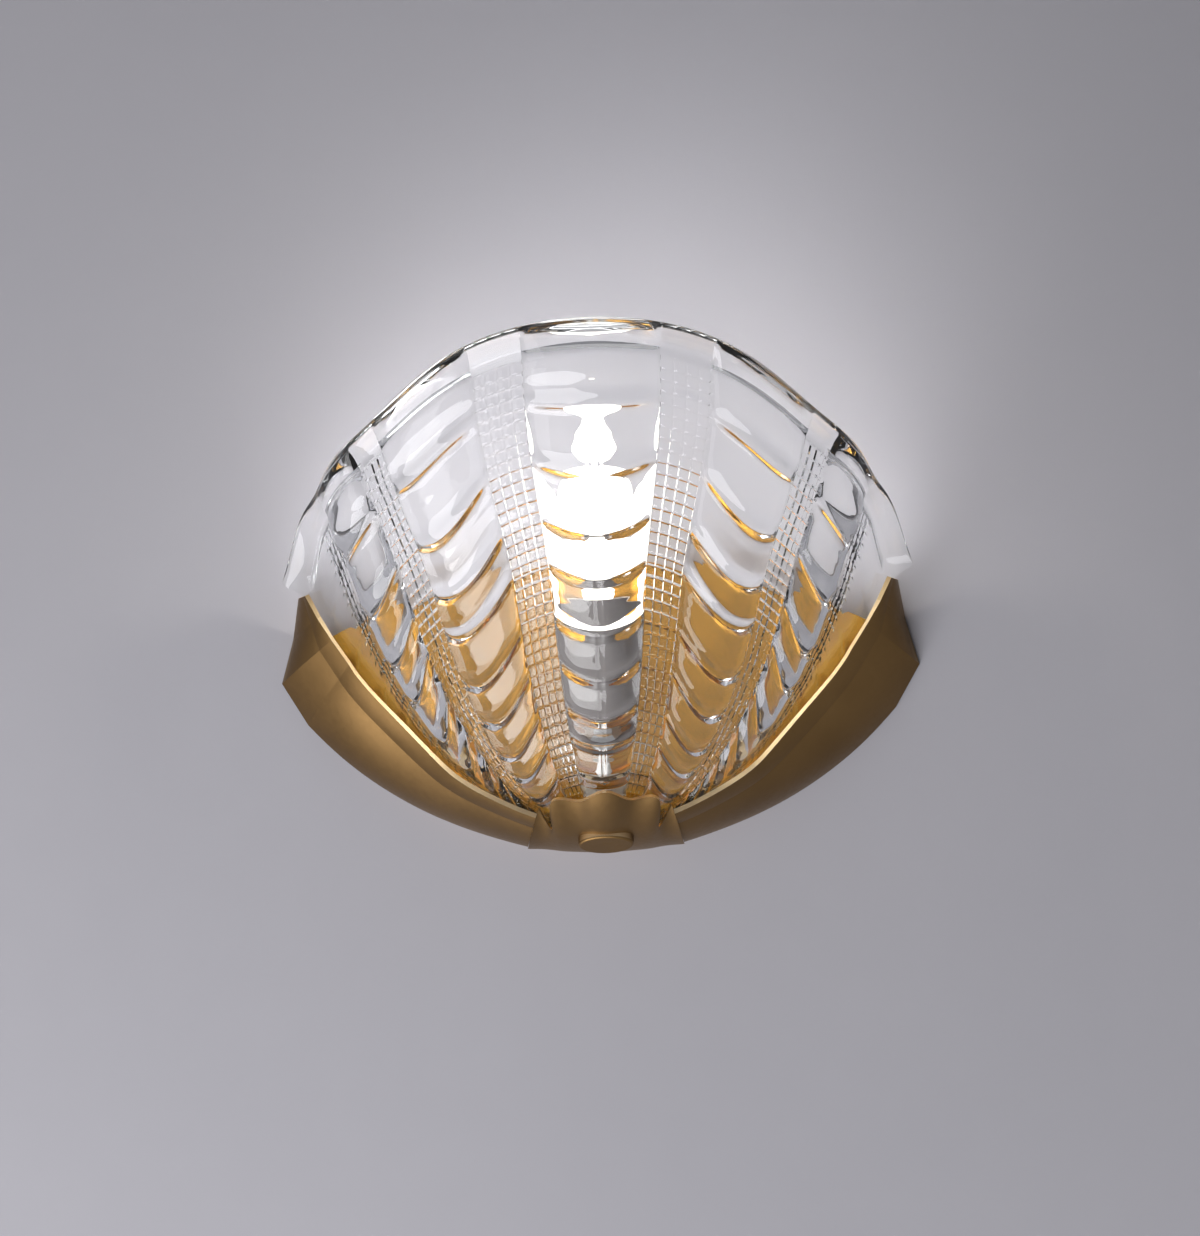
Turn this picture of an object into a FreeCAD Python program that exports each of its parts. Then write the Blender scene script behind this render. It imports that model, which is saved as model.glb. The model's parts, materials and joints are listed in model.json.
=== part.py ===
import FreeCAD, Part
import math
import os

os.makedirs("parts", exist_ok=True)
V = FreeCAD.Vector

# Lengths are millimetres. X is to the right, Y runs into the wall and Z is up.
# The origin is the middle of the wall bracket, on the wall. "Depth" is the distance in front of the wall (-Y).

# ---- the glass shell -------------------------------------------------------------------------------------
FOOT_BELOW = 62.0          # the shell's lowest tangent level, below the origin
BOWL_HALF_WIDTH = 148.0
BOWL_DEPTH = 108.0
BOWL_HEIGHT = 262.0        # height at which the meridian would be upright
RIM_BACK_HEIGHT = 129.0    # top of the rim where it meets the shell's back, above the lowest level
RIM_SLOPE = 1.02           # the rim rises this much for each mm of depth
RIM_DIP = 7.5              # the rim is this much lower on its shoulders, about 37 degrees from the middle
RIM_LIFT = 5.5             # and this much higher on the skirts, about 76 degrees from the middle
FLUTE_ANGLE = 20.0         # degrees about the vertical axis
STRIP_ANGLE = 8.0          # flat strip between two flutes
FLUTE_COUNT = 5
FLUTE_RISE = 8.0
FLUTE_SPREAD = 7.0         # degrees by which the upper ends of the flutes lean away from the middle
SKIRT_START = 64.0         # degrees where the back skirt begins to flare
SKIRT_FLARE = 22.0
GLASS_WALL = 4.0
FOOT_LEVEL = 3.0           # the ground flat that the shell stands on
RIM_WIDTH = 6.0            # at the front
RIM_END_WIDTH = 11.0       # at the wall
RIM_THICK = 5.0
TIER_STEP = 1.3            # each tier's lower edge stands this proud of the flute
TIER_CARVE = 1.3           # and the hollow under it is this deep
TIER_ROLL = 0.014          # half height of the rounded edge, as a share of the shell's height
SAG = 11.0                 # how far a tier's edge hangs in the middle of a flute
TIERS = (1.0, 0.91, 0.795, 0.68, 0.59, 0.48, 0.385, 0.295, 0.225, 0.16, 0.09)
INNER_TIERS = (0.965, 0.86, 0.72, 0.58, 0.45, 0.33, 0.22, 0.12)
FLUTE_END = ((0.965, 1.0), (0.985, 0.8), (0.995, 0.5))

# ---- the back plate pan ----------------------------------------------------------------------------------
PAN_DEPTH = 14.0
SHEET = 1.6
PAN_RADIUS = 176.0         # lower edge, about the same centre as the arms' outer edge
PAN_TOP = 132.0            # top of the arched upper edge, above the lowest level
PAN_SIDE = 100.0           # where the arched edge meets the side
GASKET = 3.0
GAP = 0.3                  # between the gasket and the glass, which slides up past it

# ---- the arms and the clasp ------------------------------------------------------------------------------
ARC_RADIUS = 195.0         # outer edge of the arms on the wall
ARC_BOTTOM = -10.0
ARM_THICK = 2.4
LIP_GAP = 1.6
ARM_END = 30.0             # half the clasp's width at its lip
CLASP_SPLAY = 0.34         # the clasp's ends lean outward by this for each mm downwards
CLASP_LIP_LEVEL = 13.0     # level of the lip where the clasp meets the arms
FOLD_SHARE = 0.22          # share of the arm's face that its front border takes
JOINT_GAP = 0.2
ARM_CORNER = (159.5, 78.0)
ARM_CREASE = 147.0
CLASP_THICK = 2.8

# ---- the wall bracket ------------------------------------------------------------------------------------
BRACKET_LENGTH = 112.0
BRACKET_HEIGHT = 22.0
BRACKET_SHEET = 2.0
WALL_HOLE_SPACING = 60.0
WALL_SLOT_LENGTH = 11.0
WALL_SLOT_WIDTH = 4.5
STUD_SPACING = 92.0
STUD_R = 2.0
FIT = 0.1                  # round pieces that are screwed or pressed together

# ---- the lampholder and the bulb -------------------------------------------------------------------------
LAMP_DEPTH = 54.0
HOLDER_BOTTOM = 60.0       # above the lowest level
HOLDER_HEIGHT = 55.0
HOLDER_R = 14.0
CAP_R = 6.7
SCREW_SHELL_R = 7.2        # inside radius
BULB_R = 17.5
BULB_LENGTH = 118.0
NIPPLE_R = 5.0
STRIP_LEVEL = 50.0         # underside of the lampholder strip
STRIP_THICK = 2.0

# ---- leads -----------------------------------------------------------------------------------------------
SLEEVE_R = 2.6
SLEEVE_BORE = 2.1
CORE_R = 0.85
CORE_SPREAD = 1.0
LEAD_LEVEL = 28.0          # height of the lead's hole in the pan
LEAD_BEND = 15.6
CORE_BEND = 5.2


def at(x, depth, level):
    """A point from its side position, its depth in front of the wall and its height above the lowest level."""
    return V(x, -depth, level - FOOT_BELOW)


def save(shape, name):
    if not shape.isValid():
        shape.fix(0.001, 0.001, 0.001)
    shape.exportStep("parts/" + name + ".step")
    print(name, "solids", len(shape.Solids), "valid", shape.isValid(), "volume", round(shape.Volume, 1))


def cyl(radius, start, end):
    return Part.makeCylinder(radius, (end - start).Length, start, end - start)


def tube(outer, inner, start, end):
    return cyl(outer, start, end).cut(cyl(inner, start, end))


def block(x0, x1, d0, d1, z0, z1):
    """A box given by its side, depth and level ranges."""
    return Part.makeBox(x1 - x0, d1 - d0, z1 - z0, at(x0, d1, z0))


def hexagon(flats, base, height, axis):
    """A hexagonal prism with the given distance across flats."""
    r = flats / math.sqrt(3.0)
    side = V(0, 0, 1) if abs(axis.z) < 0.5 else V(1, 0, 0)
    other = axis.cross(side)
    pts = []
    for i in range(7):
        a = math.radians(60 * i)
        pts.append(base + side * (r * math.cos(a)) + other * (r * math.sin(a)))
    return Part.Face(Part.makePolygon(pts)).extrude(axis * height)


# ---- shell formulas --------------------------------------------------------------------------------------
def girth(level):
    """How much of its full width the bowl has at a level: a quarter ellipse standing on its end."""
    t = 1.0 - max(level, 0.0) / BOWL_HEIGHT
    return math.sqrt(max(0.0, 1.0 - t * t))


BACK = PAN_DEPTH + GASKET + GAP  # depth of the shell's ground back edge
INNER_FLOOR = FOOT_LEVEL + GLASS_WALL + 0.5


def outward(phi):
    """Unit outward direction of the elliptical plan at an angle, as (side, depth)."""
    nx = math.sin(phi) / BOWL_HALF_WIDTH
    nd = math.cos(phi) / BOWL_DEPTH
    n = math.hypot(nx, nd)
    return nx / n, nd / n


def flute_share(deg):
    """1 in the middle of a flute, 0 on its edges and on the strips."""
    pitch = FLUTE_ANGLE + STRIP_ANGLE
    k = round(deg / pitch)
    if abs(k) > FLUTE_COUNT // 2:
        return 0.0
    u = (deg - k * pitch) / (FLUTE_ANGLE / 2.0)
    return math.sqrt(max(0.0, 1.0 - u * u))


def smooth(x, start, end):
    """0 up to the start, 1 from the end on, and a soft S between them."""
    t = min(1.0, max(0.0, (x - start) / (end - start)))
    return t * t * (3.0 - 2.0 * t)


def lean(deg, level):
    """The flutes spread as they rise: the angle at which a flute's line has arrived at a level."""
    return deg + FLUTE_SPREAD * math.sin(math.radians(2.0 * deg)) * smooth(level / BOWL_HEIGHT, 0.45, 0.80)


def wall_point(deg, level, offset, bulge):
    """A point of the bowl at an angle and a level, moved outward by offset and by the flute's rise."""
    phi = math.radians(lean(deg, level))
    s = girth(level)
    nx, nd = outward(phi)
    out = FLUTE_RISE * s * bulge * flute_share(deg) + offset
    flare = max(0.0, (abs(deg) - SKIRT_START) / (90.0 - SKIRT_START)) ** 2
    x = BOWL_HALF_WIDTH * s * math.sin(phi) + out * nx + math.copysign(SKIRT_FLARE * s * flare, deg)
    d = BACK + BOWL_DEPTH * s * math.cos(phi) + out * nd
    return x, d


def rim_wave(deg):
    """How far the rim lies above or below its plane: a dip on the shoulders, a lift on the skirts."""
    dip = RIM_DIP * math.exp(-(((abs(deg) - 37.0) / 15.0) ** 2))
    lift = RIM_LIFT * math.exp(-(((abs(deg) - 76.0) / 9.0) ** 2))
    return lift - dip


def rim_level(deg, raise_by, offset, bulge):
    """Level where the rim, raised by an amount, crosses the bowl at an angle."""
    level = 200.0
    for _ in range(60):
        depth = wall_point(deg, level, offset, bulge)[1]
        target = RIM_BACK_HEIGHT + raise_by + RIM_SLOPE * (depth - BACK) + rim_wave(deg)
        level = 0.5 * (level + target)
    return level


def rim_point(deg, raise_by, offset, bulge):
    level = rim_level(deg, raise_by, min(offset, 0.0), bulge)
    x, d = wall_point(deg, level, offset, bulge)
    return at(x, d, RIM_BACK_HEIGHT + raise_by + RIM_SLOPE * (d - BACK) + rim_wave(deg))


def tier_level(deg, tier, floor):
    """Tiers follow the rim: they are lower at the sides, and more so the lower the tier is."""
    base = rim_level(deg, -RIM_THICK, 0.0, 0.0)
    return floor + (base - floor) * tier ** (1.0 + 0.9 * (1.0 - math.cos(math.radians(deg))))


def tier_point(deg, tier, offset, bulge):
    hang = SAG * min(1.0, 4.0 * (1.0 - tier)) * min(1.0, 3.0 * tier)
    floor = FOOT_LEVEL if offset > -GLASS_WALL else INNER_FLOOR
    level = tier_level(deg, tier, floor) - hang * flute_share(deg) ** 2
    x, d = wall_point(deg, level, offset, bulge)
    return at(x, d, level)


def ring_angles():
    """Angles that split a ring into arcs: start, middle and end of each."""
    pitch = FLUTE_ANGLE + STRIP_ANGLE
    half = FLUTE_ANGLE / 2.0
    last = FLUTE_COUNT // 2
    edge = last * pitch + half
    spans = [(-90.0, -80.0, -70.0)]
    spans.append((-70.0, -(70.0 + edge) / 2.0, -edge))
    for k in range(-last, last + 1):
        mid = k * pitch
        spans.append((mid - half, mid, mid + half))
        if k < last:
            spans.append((mid + half, mid + pitch / 2.0, mid + pitch - half))
    spans.append((edge, (70.0 + edge) / 2.0, 70.0))
    spans.append((70.0, 80.0, 90.0))
    return spans


def ring(point):
    """A ring's arcs, each through three points of a formula."""
    edges = []
    for a, m, b in ring_angles():
        edges.append(Part.Arc(point(a), point(m), point(b)).toShape())
    return edges


def bands(lower, upper):
    faces = []
    for a, b in zip(lower, upper):
        faces.append(Part.makeRuledSurface(a, b))
    return faces


def foot_ring(level, offset):
    def point(deg):
        x, d = wall_point(deg, level, offset, 1.0)
        return at(x, d, level)
    return ring(point)


def outer_tier(deg, tier, height):
    """A point of the outer face: a tier's height is 1 on its rolled edge and 0 in the hollow under it."""
    step = edge_share(deg) * (height * (TIER_STEP + TIER_CARVE) - TIER_CARVE)
    return tier_point(deg, tier, step, 1.0)


def glass_shell():
    """The half bowl: rolled tiers outside, smooth bands inside, a flat rim, a flat foot and a flat back."""
    outer = [foot_ring(FOOT_LEVEL, 0.0)]
    for tier in reversed(TIERS[1:]):
        roll = TIER_ROLL * min(1.0, 4.0 * tier)
        outer.append(ring(lambda deg: outer_tier(deg, tier - 2.2 * roll, 0.55)))
        outer.append(ring(lambda deg: outer_tier(deg, tier - roll, 0.0)))
        outer.append(ring(lambda deg: outer_tier(deg, tier + roll, 1.0)))
    for tier, bulge in FLUTE_END:
        outer.append(ring(lambda deg: tier_point(deg, tier, 0.0, bulge)))
    outer.append(ring(lambda deg: rim_point(deg, -RIM_THICK, 0.0, 0.0)))
    outer.append(ring(lambda deg: rim_point(deg, -RIM_THICK, rim_width(deg), 0.0)))
    outer.append(ring(lambda deg: rim_point(deg, 0.0, rim_width(deg), 0.0)))
    inner = [ring(lambda deg: rim_point(deg, 0.0, -GLASS_WALL, 0.0))]
    for tier in INNER_TIERS:
        inner.append(ring(lambda deg: tier_point(deg, tier, -GLASS_WALL, 0.8)))
    inner.append(foot_ring(INNER_FLOOR, -GLASS_WALL))
    rings = outer + inner
    faces = []
    for a, b in zip(rings, rings[1:]):
        faces += bands(a, b)
    for loop in (outer[0], inner[-1]):
        close = Part.makeLine(loop[-1].lastVertex().Point, loop[0].firstVertex().Point)
        faces.append(Part.Face(Part.Wire(Part.__sortEdges__(loop + [close]))))
    left = [r[0].firstVertex().Point for r in rings]
    right = [r[-1].lastVertex().Point for r in rings]
    outline = left + list(reversed(right)) + [left[0]]
    faces.append(Part.Face(Part.makePolygon(outline)))
    shell = Part.makeShell(faces)
    shell.sewShape()
    solid = Part.makeSolid(shell)
    if solid.Volume < 0:
        solid.reverse()
    return solid, Part.Face(Part.makePolygon(outline))


def edge_share(deg):
    """The tier steps run out to a trace on the smooth skirt."""
    return 1.0 if abs(deg) < 75.0 else 0.3


def rim_width(deg):
    return RIM_WIDTH + (RIM_END_WIDTH - RIM_WIDTH) * (deg / 90.0) ** 4


# ---- back plate pan --------------------------------------------------------------------------------------
PAN_HALF_WIDTH = BOWL_HALF_WIDTH + SKIRT_FLARE + 1.0
PAN_DROP = 1.0             # the pan reaches this far below the shell's lowest level


def pan_edge(t):
    """A point of the pan's lower edge and its outward direction, as (x, level, nx, nz)."""
    a = PAN_HALF_WIDTH
    b = BOWL_HEIGHT + PAN_DROP
    x = a * math.sin(t)
    z = BOWL_HEIGHT - b * math.cos(t)
    n = math.hypot(math.sin(t) / a, math.cos(t) / b)
    return x, z, math.sin(t) / a / n, -math.cos(t) / b / n


def pan_outline(depth, inset):
    """The pan's outline: the shell's own ellipse below and an arch above, drawn in by an inset."""
    a = PAN_HALF_WIDTH - inset
    b = BOWL_HEIGHT + PAN_DROP - inset
    side = PAN_SIDE - inset
    t = math.acos((BOWL_HEIGHT - side) / b)
    tall = Part.Ellipse(at(0.0, depth, BOWL_HEIGHT - b), at(a, depth, BOWL_HEIGHT), at(0.0, depth, BOWL_HEIGHT))
    start = tall.parameter(at(-a * math.sin(t), depth, side))
    end = tall.parameter(at(a * math.sin(t), depth, side))
    lowest = tall.parameter(at(0.0, depth, BOWL_HEIGHT - b))
    before = Part.ArcOfEllipse(tall, min(start, lowest), max(start, lowest))
    if abs(start - lowest) > math.pi:
        before = Part.ArcOfEllipse(tall, max(start, lowest), min(start, lowest) + 2.0 * math.pi)
    after = Part.ArcOfEllipse(tall, min(end, lowest), max(end, lowest))
    if abs(end - lowest) > math.pi:
        after = Part.ArcOfEllipse(tall, max(end, lowest), min(end, lowest) + 2.0 * math.pi)
    ends = [at(-a * math.sin(t), depth, side), at(a * math.sin(t), depth, side)]
    arch = Part.Arc(ends[0], at(0.0, depth, PAN_TOP - inset), ends[1]).toShape()
    return Part.Wire(Part.__sortEdges__([before.toShape(), after.toShape(), arch]))


ARM_SCREW_AT = (0.47, 0.80)      # angles on the pan's ellipse
ARM_SCREW_DEPTH = 6.0
ARM_SCREW_R = 2.0
CLASP_SCREW_R = 2.5
CLASP_SCREW_DEPTH = 7.0
STUD_LEVEL = FOOT_BELOW
STRIP_SCREW_X = 9.0
STRIP_SCREW_LEVEL = STRIP_LEVEL + STRIP_THICK + 8.0
STRIP_SCREW_R = 1.5
GROMMET_NECK_R = 4.5
FLUTE_EDGE = (FLUTE_COUNT // 2) * (FLUTE_ANGLE + STRIP_ANGLE) + FLUTE_ANGLE / 2.0


def arm_screw_axes():
    """Where the arm screws cross the pan's edge, with the outward direction of each."""
    axes = []
    for side in (-1.0, 1.0):
        for t in ARM_SCREW_AT:
            x, z, nx, nz = pan_edge(t)
            axes.append((at(side * x, ARM_SCREW_DEPTH, z), V(side * nx, 0.0, nz)))
    return axes


def back_plate():
    """A shallow brass pan: polished front, turned edge, open to the wall."""
    body = Part.Face(pan_outline(0.0, 0.0)).extrude(V(0, -PAN_DEPTH, 0))
    pan = body.cut(Part.Face(pan_outline(0.0, SHEET)).extrude(V(0, -(PAN_DEPTH - SHEET), 0)))
    for side in (-1.0, 1.0):
        x = side * STUD_SPACING / 2.0
        pan = pan.cut(cyl(STUD_R + 0.2, at(x, 5.0, STUD_LEVEL), at(x, 20.0, STUD_LEVEL)))
        x = side * STRIP_SCREW_X
        pan = pan.cut(cyl(STRIP_SCREW_R + 0.1, at(x, 5.0, STRIP_SCREW_LEVEL), at(x, 20.0, STRIP_SCREW_LEVEL)))
    pan = pan.cut(cyl(GROMMET_NECK_R, at(0.0, 5.0, LEAD_LEVEL), at(0.0, 20.0, LEAD_LEVEL)))
    for point, away in arm_screw_axes():
        pan = pan.cut(cyl(ARM_SCREW_R + 0.1, point - away * 6.0, point + away * 3.0))
    low = at(0.0, CLASP_SCREW_DEPTH, 4.0)
    return pan.cut(cyl(CLASP_SCREW_R + 0.1, low, low - V(0, 0, 8.0)))


def edge_gasket(back_face):
    """Silicone strip between the pan and the shell's ground back edge."""
    strip = back_face.copy()
    strip.translate(V(0, BACK - PAN_DEPTH - GASKET, 0))
    strip = strip.extrude(V(0, GASKET, 0))
    keep = Part.Face(pan_outline(PAN_DEPTH - 1.0, 0.0)).extrude(V(0, -GASKET - 2.0, 0))
    return strip.common(keep)


# ---- arms and clasp --------------------------------------------------------------------------------------
def on_arc(x):
    """A point of the arms' circular outer edge on the wall."""
    return at(x, 0.0, ARC_BOTTOM + ARC_RADIUS - math.sqrt(ARC_RADIUS ** 2 - x * x))


ARM_STATIONS = (
    # tier and angle of the front lip on the shell, side position of the outer edge, bulge of the face
    (0.775, 83.5, 147.0, 3.0),
    (0.66, 80.5, 134.0, 4.0),
    (0.50, 75.0, 114.0, 4.5),
    (0.345, 66.5, 88.0, 4.5),
    (0.226, 57.0, 62.0, 4.5),
    (0.125, 46.0, 38.0, 5.5),
    (0.073, 36.0, 20.0, 6.5),
)


def strip_section(lip, foot, bulge, thick):
    """A section of a cast strip: curved outer face, curved inner face, a square lip and a foot on the wall."""
    along = foot - lip
    along.normalize()
    centre = at(0.0, 0.0, ARC_BOTTOM + ARC_RADIUS)
    radial = V(foot.x - centre.x, 0.0, foot.z - centre.z)
    radial.normalize()
    away = radial + V(0, -1, 0)
    away = away - along * away.dot(along)
    away.normalize()
    lip_out = lip + away * thick
    fold_out = lip_out + (foot - lip_out) * FOLD_SHARE + away * (bulge * 0.42)
    fold_in = fold_out - away * thick
    mid_out = (fold_out + foot) * 0.5 + away * (bulge * 0.85)
    mid_in = mid_out - away * thick
    foot_in = foot - radial * (thick * 1.4)
    border = Part.Arc(lip_out, (lip_out + fold_out) * 0.5 + away * (bulge * 0.12), fold_out).toShape()
    outer = Part.Arc(fold_out, mid_out, foot).toShape()
    base = Part.makeLine(foot, foot_in)
    inner = Part.Arc(foot_in, mid_in, fold_in).toShape()
    inner_border = Part.Arc(fold_in, (lip + fold_in) * 0.5 + away * (bulge * 0.12), lip).toShape()
    edge = Part.makeLine(lip, lip_out)
    return Part.Wire([border, outer, base, inner, inner_border, edge])


def lip_point(tier, deg):
    """A point of the lip: just outside the shell, and outside its flutes where it crosses them."""
    level = tier_level(deg, tier, FOOT_LEVEL)
    cover = min(1.0, max(0.0, (FLUTE_EDGE + 8.0 - abs(deg)) / 8.0))
    offset = LIP_GAP + TIER_STEP + FLUTE_RISE * girth(level) * cover
    x, d = wall_point(deg, level, offset, 0.0)
    return at(x, d, level)


def loft(sections, ruled):
    """A closed solid through four- or six-sided sections, with ruled faces over each end."""
    faces = list(Part.makeLoft(sections, False, ruled).Faces)
    for end in (sections[0], sections[-1]):
        edges = end.Edges
        if len(edges) == 4:
            faces.append(Part.makeRuledSurface(edges[0], edges[2]))
        else:
            faces.append(Part.makeRuledSurface(edges[0], edges[4]))
            faces.append(Part.makeRuledSurface(edges[1], edges[3]))
    shell = Part.makeShell(faces)
    shell.sewShape()
    solid = Part.makeSolid(shell)
    if solid.Volume < 0:
        solid.reverse()
    return solid


def inner_lug(arm, start, away, across, half, d0, d1):
    """The part of a block between the pan and the arm, so that the arm's face stays clean."""
    base = []
    for side, depth in ((-half, d0), (half, d0), (half, d1), (-half, d1)):
        base.append(V(start.x, 0, start.z) + across * side + V(0, -depth, 0))
    bar = Part.Face(Part.makePolygon(base + [base[0]])).extrude(away * 34.0)
    pieces = bar.cut(arm).Solids
    pieces.sort(key=lambda p: (p.CenterOfMass - start).Length)
    return pieces[0]


def arm(side):
    """A cast arm: a long curved face, a creased end facet and two lugs that meet the pan's edge."""
    sections = []
    for tier, deg, x, bulge in ARM_STATIONS:
        sections.append(strip_section(lip_point(tier, deg), on_arc(x), bulge, ARM_THICK))
    body = loft(sections, False)
    corner = at(ARM_CORNER[0], 0.0, ARM_CORNER[1])
    facet = [
        strip_section(lip_point(0.965, 86.8), at(148.8, 11.0, 120.5), 0.6, ARM_THICK),
        strip_section(lip_point(0.91, 86.2), at(153.2, 0.0, 100.0), 1.6, ARM_THICK),
        strip_section(lip_point(0.85, 85.2), corner, 2.2, ARM_THICK),
        sections[0],
    ]
    body = body.fuse(loft(facet, True))
    body = body.cut(clasp_wedge(0.0))
    for t in ARM_SCREW_AT:
        x, z, nx, nz = pan_edge(t)
        away = V(nx, 0, nz)
        across = V(-nz, 0, nx)
        lug = inner_lug(body, at(x, ARM_SCREW_DEPTH, z) + away * 0.1, away, across, 7.0, 1.5, 10.5)
        body = body.fuse(lug)
        start = at(x, ARM_SCREW_DEPTH, z)
        body = body.cut(cyl(ARM_SCREW_R + FIT, start, start + away * 7.5))
    if side < 0:
        body = body.mirror(V(0, 0, 0), V(1, 0, 0))
    return body


def arm_screws():
    """Pan-head screws from inside the pan into the arms' lugs."""
    screws = []
    for point, away in arm_screw_axes():
        seat = point - away * (SHEET + 0.05)
        head = cyl(3.4, seat - away * 2.4, seat)
        shank = cyl(ARM_SCREW_R, seat, seat + away * 8.0)
        screws.append(head.fuse(shank).removeSplitter())
    return Part.makeCompound(screws)


CLASP_LIP = (
    # angle on the shell, level of the scalloped lip, swell of the face below it
    (-50.0, 10.5, 0.0),
    (-38.0, 13.5, 0.3),
    (-27.0, 17.8, 0.8),
    (-18.0, 21.4, -0.2),
    (-12.5, 20.4, -0.5),
    (-6.0, 22.8, 0.5),
    (0.0, 25.2, 1.0),
    (6.0, 22.8, 0.5),
    (12.5, 20.4, -0.5),
    (18.0, 21.4, -0.2),
    (27.0, 17.8, 0.8),
    (38.0, 13.5, 0.3),
    (50.0, 10.5, 0.0),
)
CLASP_SIDE = 0.3           # the clasp's face stands this far outside the arms' faces
CLASP_FOOT_X = 43.0        # side position of the last section's foot
BUTTON_HALF_WIDTH = 13.5
BUTTON_HALF_HEIGHT = 9.0
BUTTON_RISE = 3.4


def clasp_section(deg, level, swell):
    """A section of the clasp: from the lip in front of the shell, down and back to the foot on the wall."""
    x, d = wall_point(deg, level, LIP_GAP + TIER_STEP, 1.0)
    share = deg / CLASP_LIP[-1][0]
    foot_x = share * CLASP_FOOT_X
    foot = on_arc(foot_x) - V(0, 0, CLASP_SIDE)
    lip = at(x, d, level)
    low = at(foot_x * 0.98, 31.0 - 4.0 * share ** 2, -5.4 + 5.0 * share ** 2 - CLASP_SIDE - 0.5 * swell)
    inner_low = low + V(0, 0, CLASP_THICK)
    lip_out = lip + V(0.4 * share, -CLASP_THICK, -1.0)
    foot_in = foot + V(0, 0, CLASP_THICK)
    outer = Part.Arc(lip_out, low, foot).toShape()
    inner = Part.Arc(foot_in, inner_low, lip).toShape()
    return Part.Wire([outer, Part.makeLine(foot, foot_in), inner, Part.makeLine(lip, lip_out)])


def clasp_wedge(inset):
    """The room between the arms' ends, wider at the bottom, drawn in by an inset on each side."""
    corners = []
    for level in (120.0, -60.0):
        half = ARM_END + (CLASP_LIP_LEVEL - level) * CLASP_SPLAY - inset
        half = max(half, 1.0)
        corners.append(at(half, 0.0, level))
        corners.insert(0, at(-half, 0.0, level))
    wedge = Part.Face(Part.makePolygon(corners + [corners[0]]))
    wedge.translate(V(0, 20, 0))
    return wedge.extrude(V(0, -170, 0))


def button():
    """The oval boss on the clasp's face, turned forward and down like the face itself."""
    tilt = math.radians(32.0)
    along = V(0, -math.cos(tilt), math.sin(tilt))
    out = V(0, -math.sin(tilt), -math.cos(tilt))
    centre = at(0.0, 41.0, -1.0) - out * (CLASP_THICK * 0.7)
    side = centre + V(BUTTON_HALF_WIDTH, 0, 0)
    oval = Part.Ellipse(side, centre + along * BUTTON_HALF_HEIGHT, centre)
    prism = Part.Face(Part.Wire(oval.toShape())).extrude(out * (CLASP_THICK * 0.7 + BUTTON_RISE))
    outer = [e for e in prism.Edges if (e.CenterOfMass - centre).dot(out) > BUTTON_RISE]
    return prism.makeFillet(1.2, outer)


def front_clasp():
    """The cast clasp that covers the arms' inner ends and carries the shell's foot."""
    sections = []
    for deg, level, swell in CLASP_LIP:
        sections.append(clasp_section(deg, level, swell))
    body = loft(sections, False)
    body = body.common(clasp_wedge(JOINT_GAP))
    top = FOOT_LEVEL - PAD_THICK
    profile = [at(-15.0, 18.5, top), at(-15.0, 31.0, top), at(-15.0, 31.0, -3.6), at(-15.0, 18.5, -6.8)]
    shelf = Part.Face(Part.makePolygon(profile + [profile[0]])).extrude(V(30.0, 0, 0))
    body = body.fuse(shelf)
    lug = block(-12.0, 12.0, 2.0, 12.0, -8.0, -PAN_DROP - 0.05)
    body = body.fuse(lug)
    body = body.fuse(button())
    low = at(0.0, CLASP_SCREW_DEPTH, 4.0)
    return body.cut(cyl(CLASP_SCREW_R + FIT, low, low - V(0, 0, 11.6)))


PAD_THICK = 2.6


def clasp_pad():
    return block(-13.0, 13.0, 19.0, 30.0, FOOT_LEVEL - PAD_THICK, FOOT_LEVEL)


def clasp_screw():
    """Pan-head screw from inside the pan down into the clasp's lug."""
    seat = at(0.0, CLASP_SCREW_DEPTH, SHEET - PAN_DROP + 0.05)
    head = cyl(4.2, seat, seat + V(0, 0, 2.8))
    return head.fuse(cyl(CLASP_SCREW_R, seat, seat - V(0, 0, 8.0))).removeSplitter()


# ---- wall bracket ----------------------------------------------------------------------------------------
EARTH_X = 38.0
EARTH_R = 2.0
BLOCK_SCREW_R = 1.5


def wall_bracket():
    """Steel strip with two slotted wall holes, tapped stud holes, an earth hole and a hole for the block."""
    half = BRACKET_LENGTH / 2.0
    strip = block(-half, half, 0.0, BRACKET_SHEET, STUD_LEVEL - BRACKET_HEIGHT / 2.0, STUD_LEVEL + BRACKET_HEIGHT / 2.0)
    strip = strip.makeFillet(4.0, [e for e in strip.Edges if abs(e.tangentAt(0).y) > 0.9])
    r = WALL_SLOT_WIDTH / 2.0
    reach = (WALL_SLOT_LENGTH - WALL_SLOT_WIDTH) / 2.0
    for side in (-1.0, 1.0):
        x = side * WALL_HOLE_SPACING / 2.0
        slot = block(x - reach, x + reach, -1.0, 3.0, STUD_LEVEL - r, STUD_LEVEL + r)
        for end in (-reach, reach):
            slot = slot.fuse(cyl(r, at(x + end, -1.0, STUD_LEVEL), at(x + end, 3.0, STUD_LEVEL)))
        strip = strip.cut(slot)
        x = side * STUD_SPACING / 2.0
        strip = strip.cut(cyl(STUD_R + FIT, at(x, -1.0, STUD_LEVEL), at(x, 3.0, STUD_LEVEL)))
    strip = strip.cut(cyl(EARTH_R + FIT, at(-EARTH_X, -1.0, EARTH_LEVEL), at(-EARTH_X, 3.0, EARTH_LEVEL)))
    return strip.cut(cyl(BLOCK_SCREW_R + FIT, at(0.0, -1.0, STUD_LEVEL), at(0.0, 3.0, STUD_LEVEL))).removeSplitter()


NUT_FLATS = 7.0
NUT_HEIGHT = 3.0
DOME_R = 3.3
EARTH_LEVEL = STUD_LEVEL - 6.0


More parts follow.
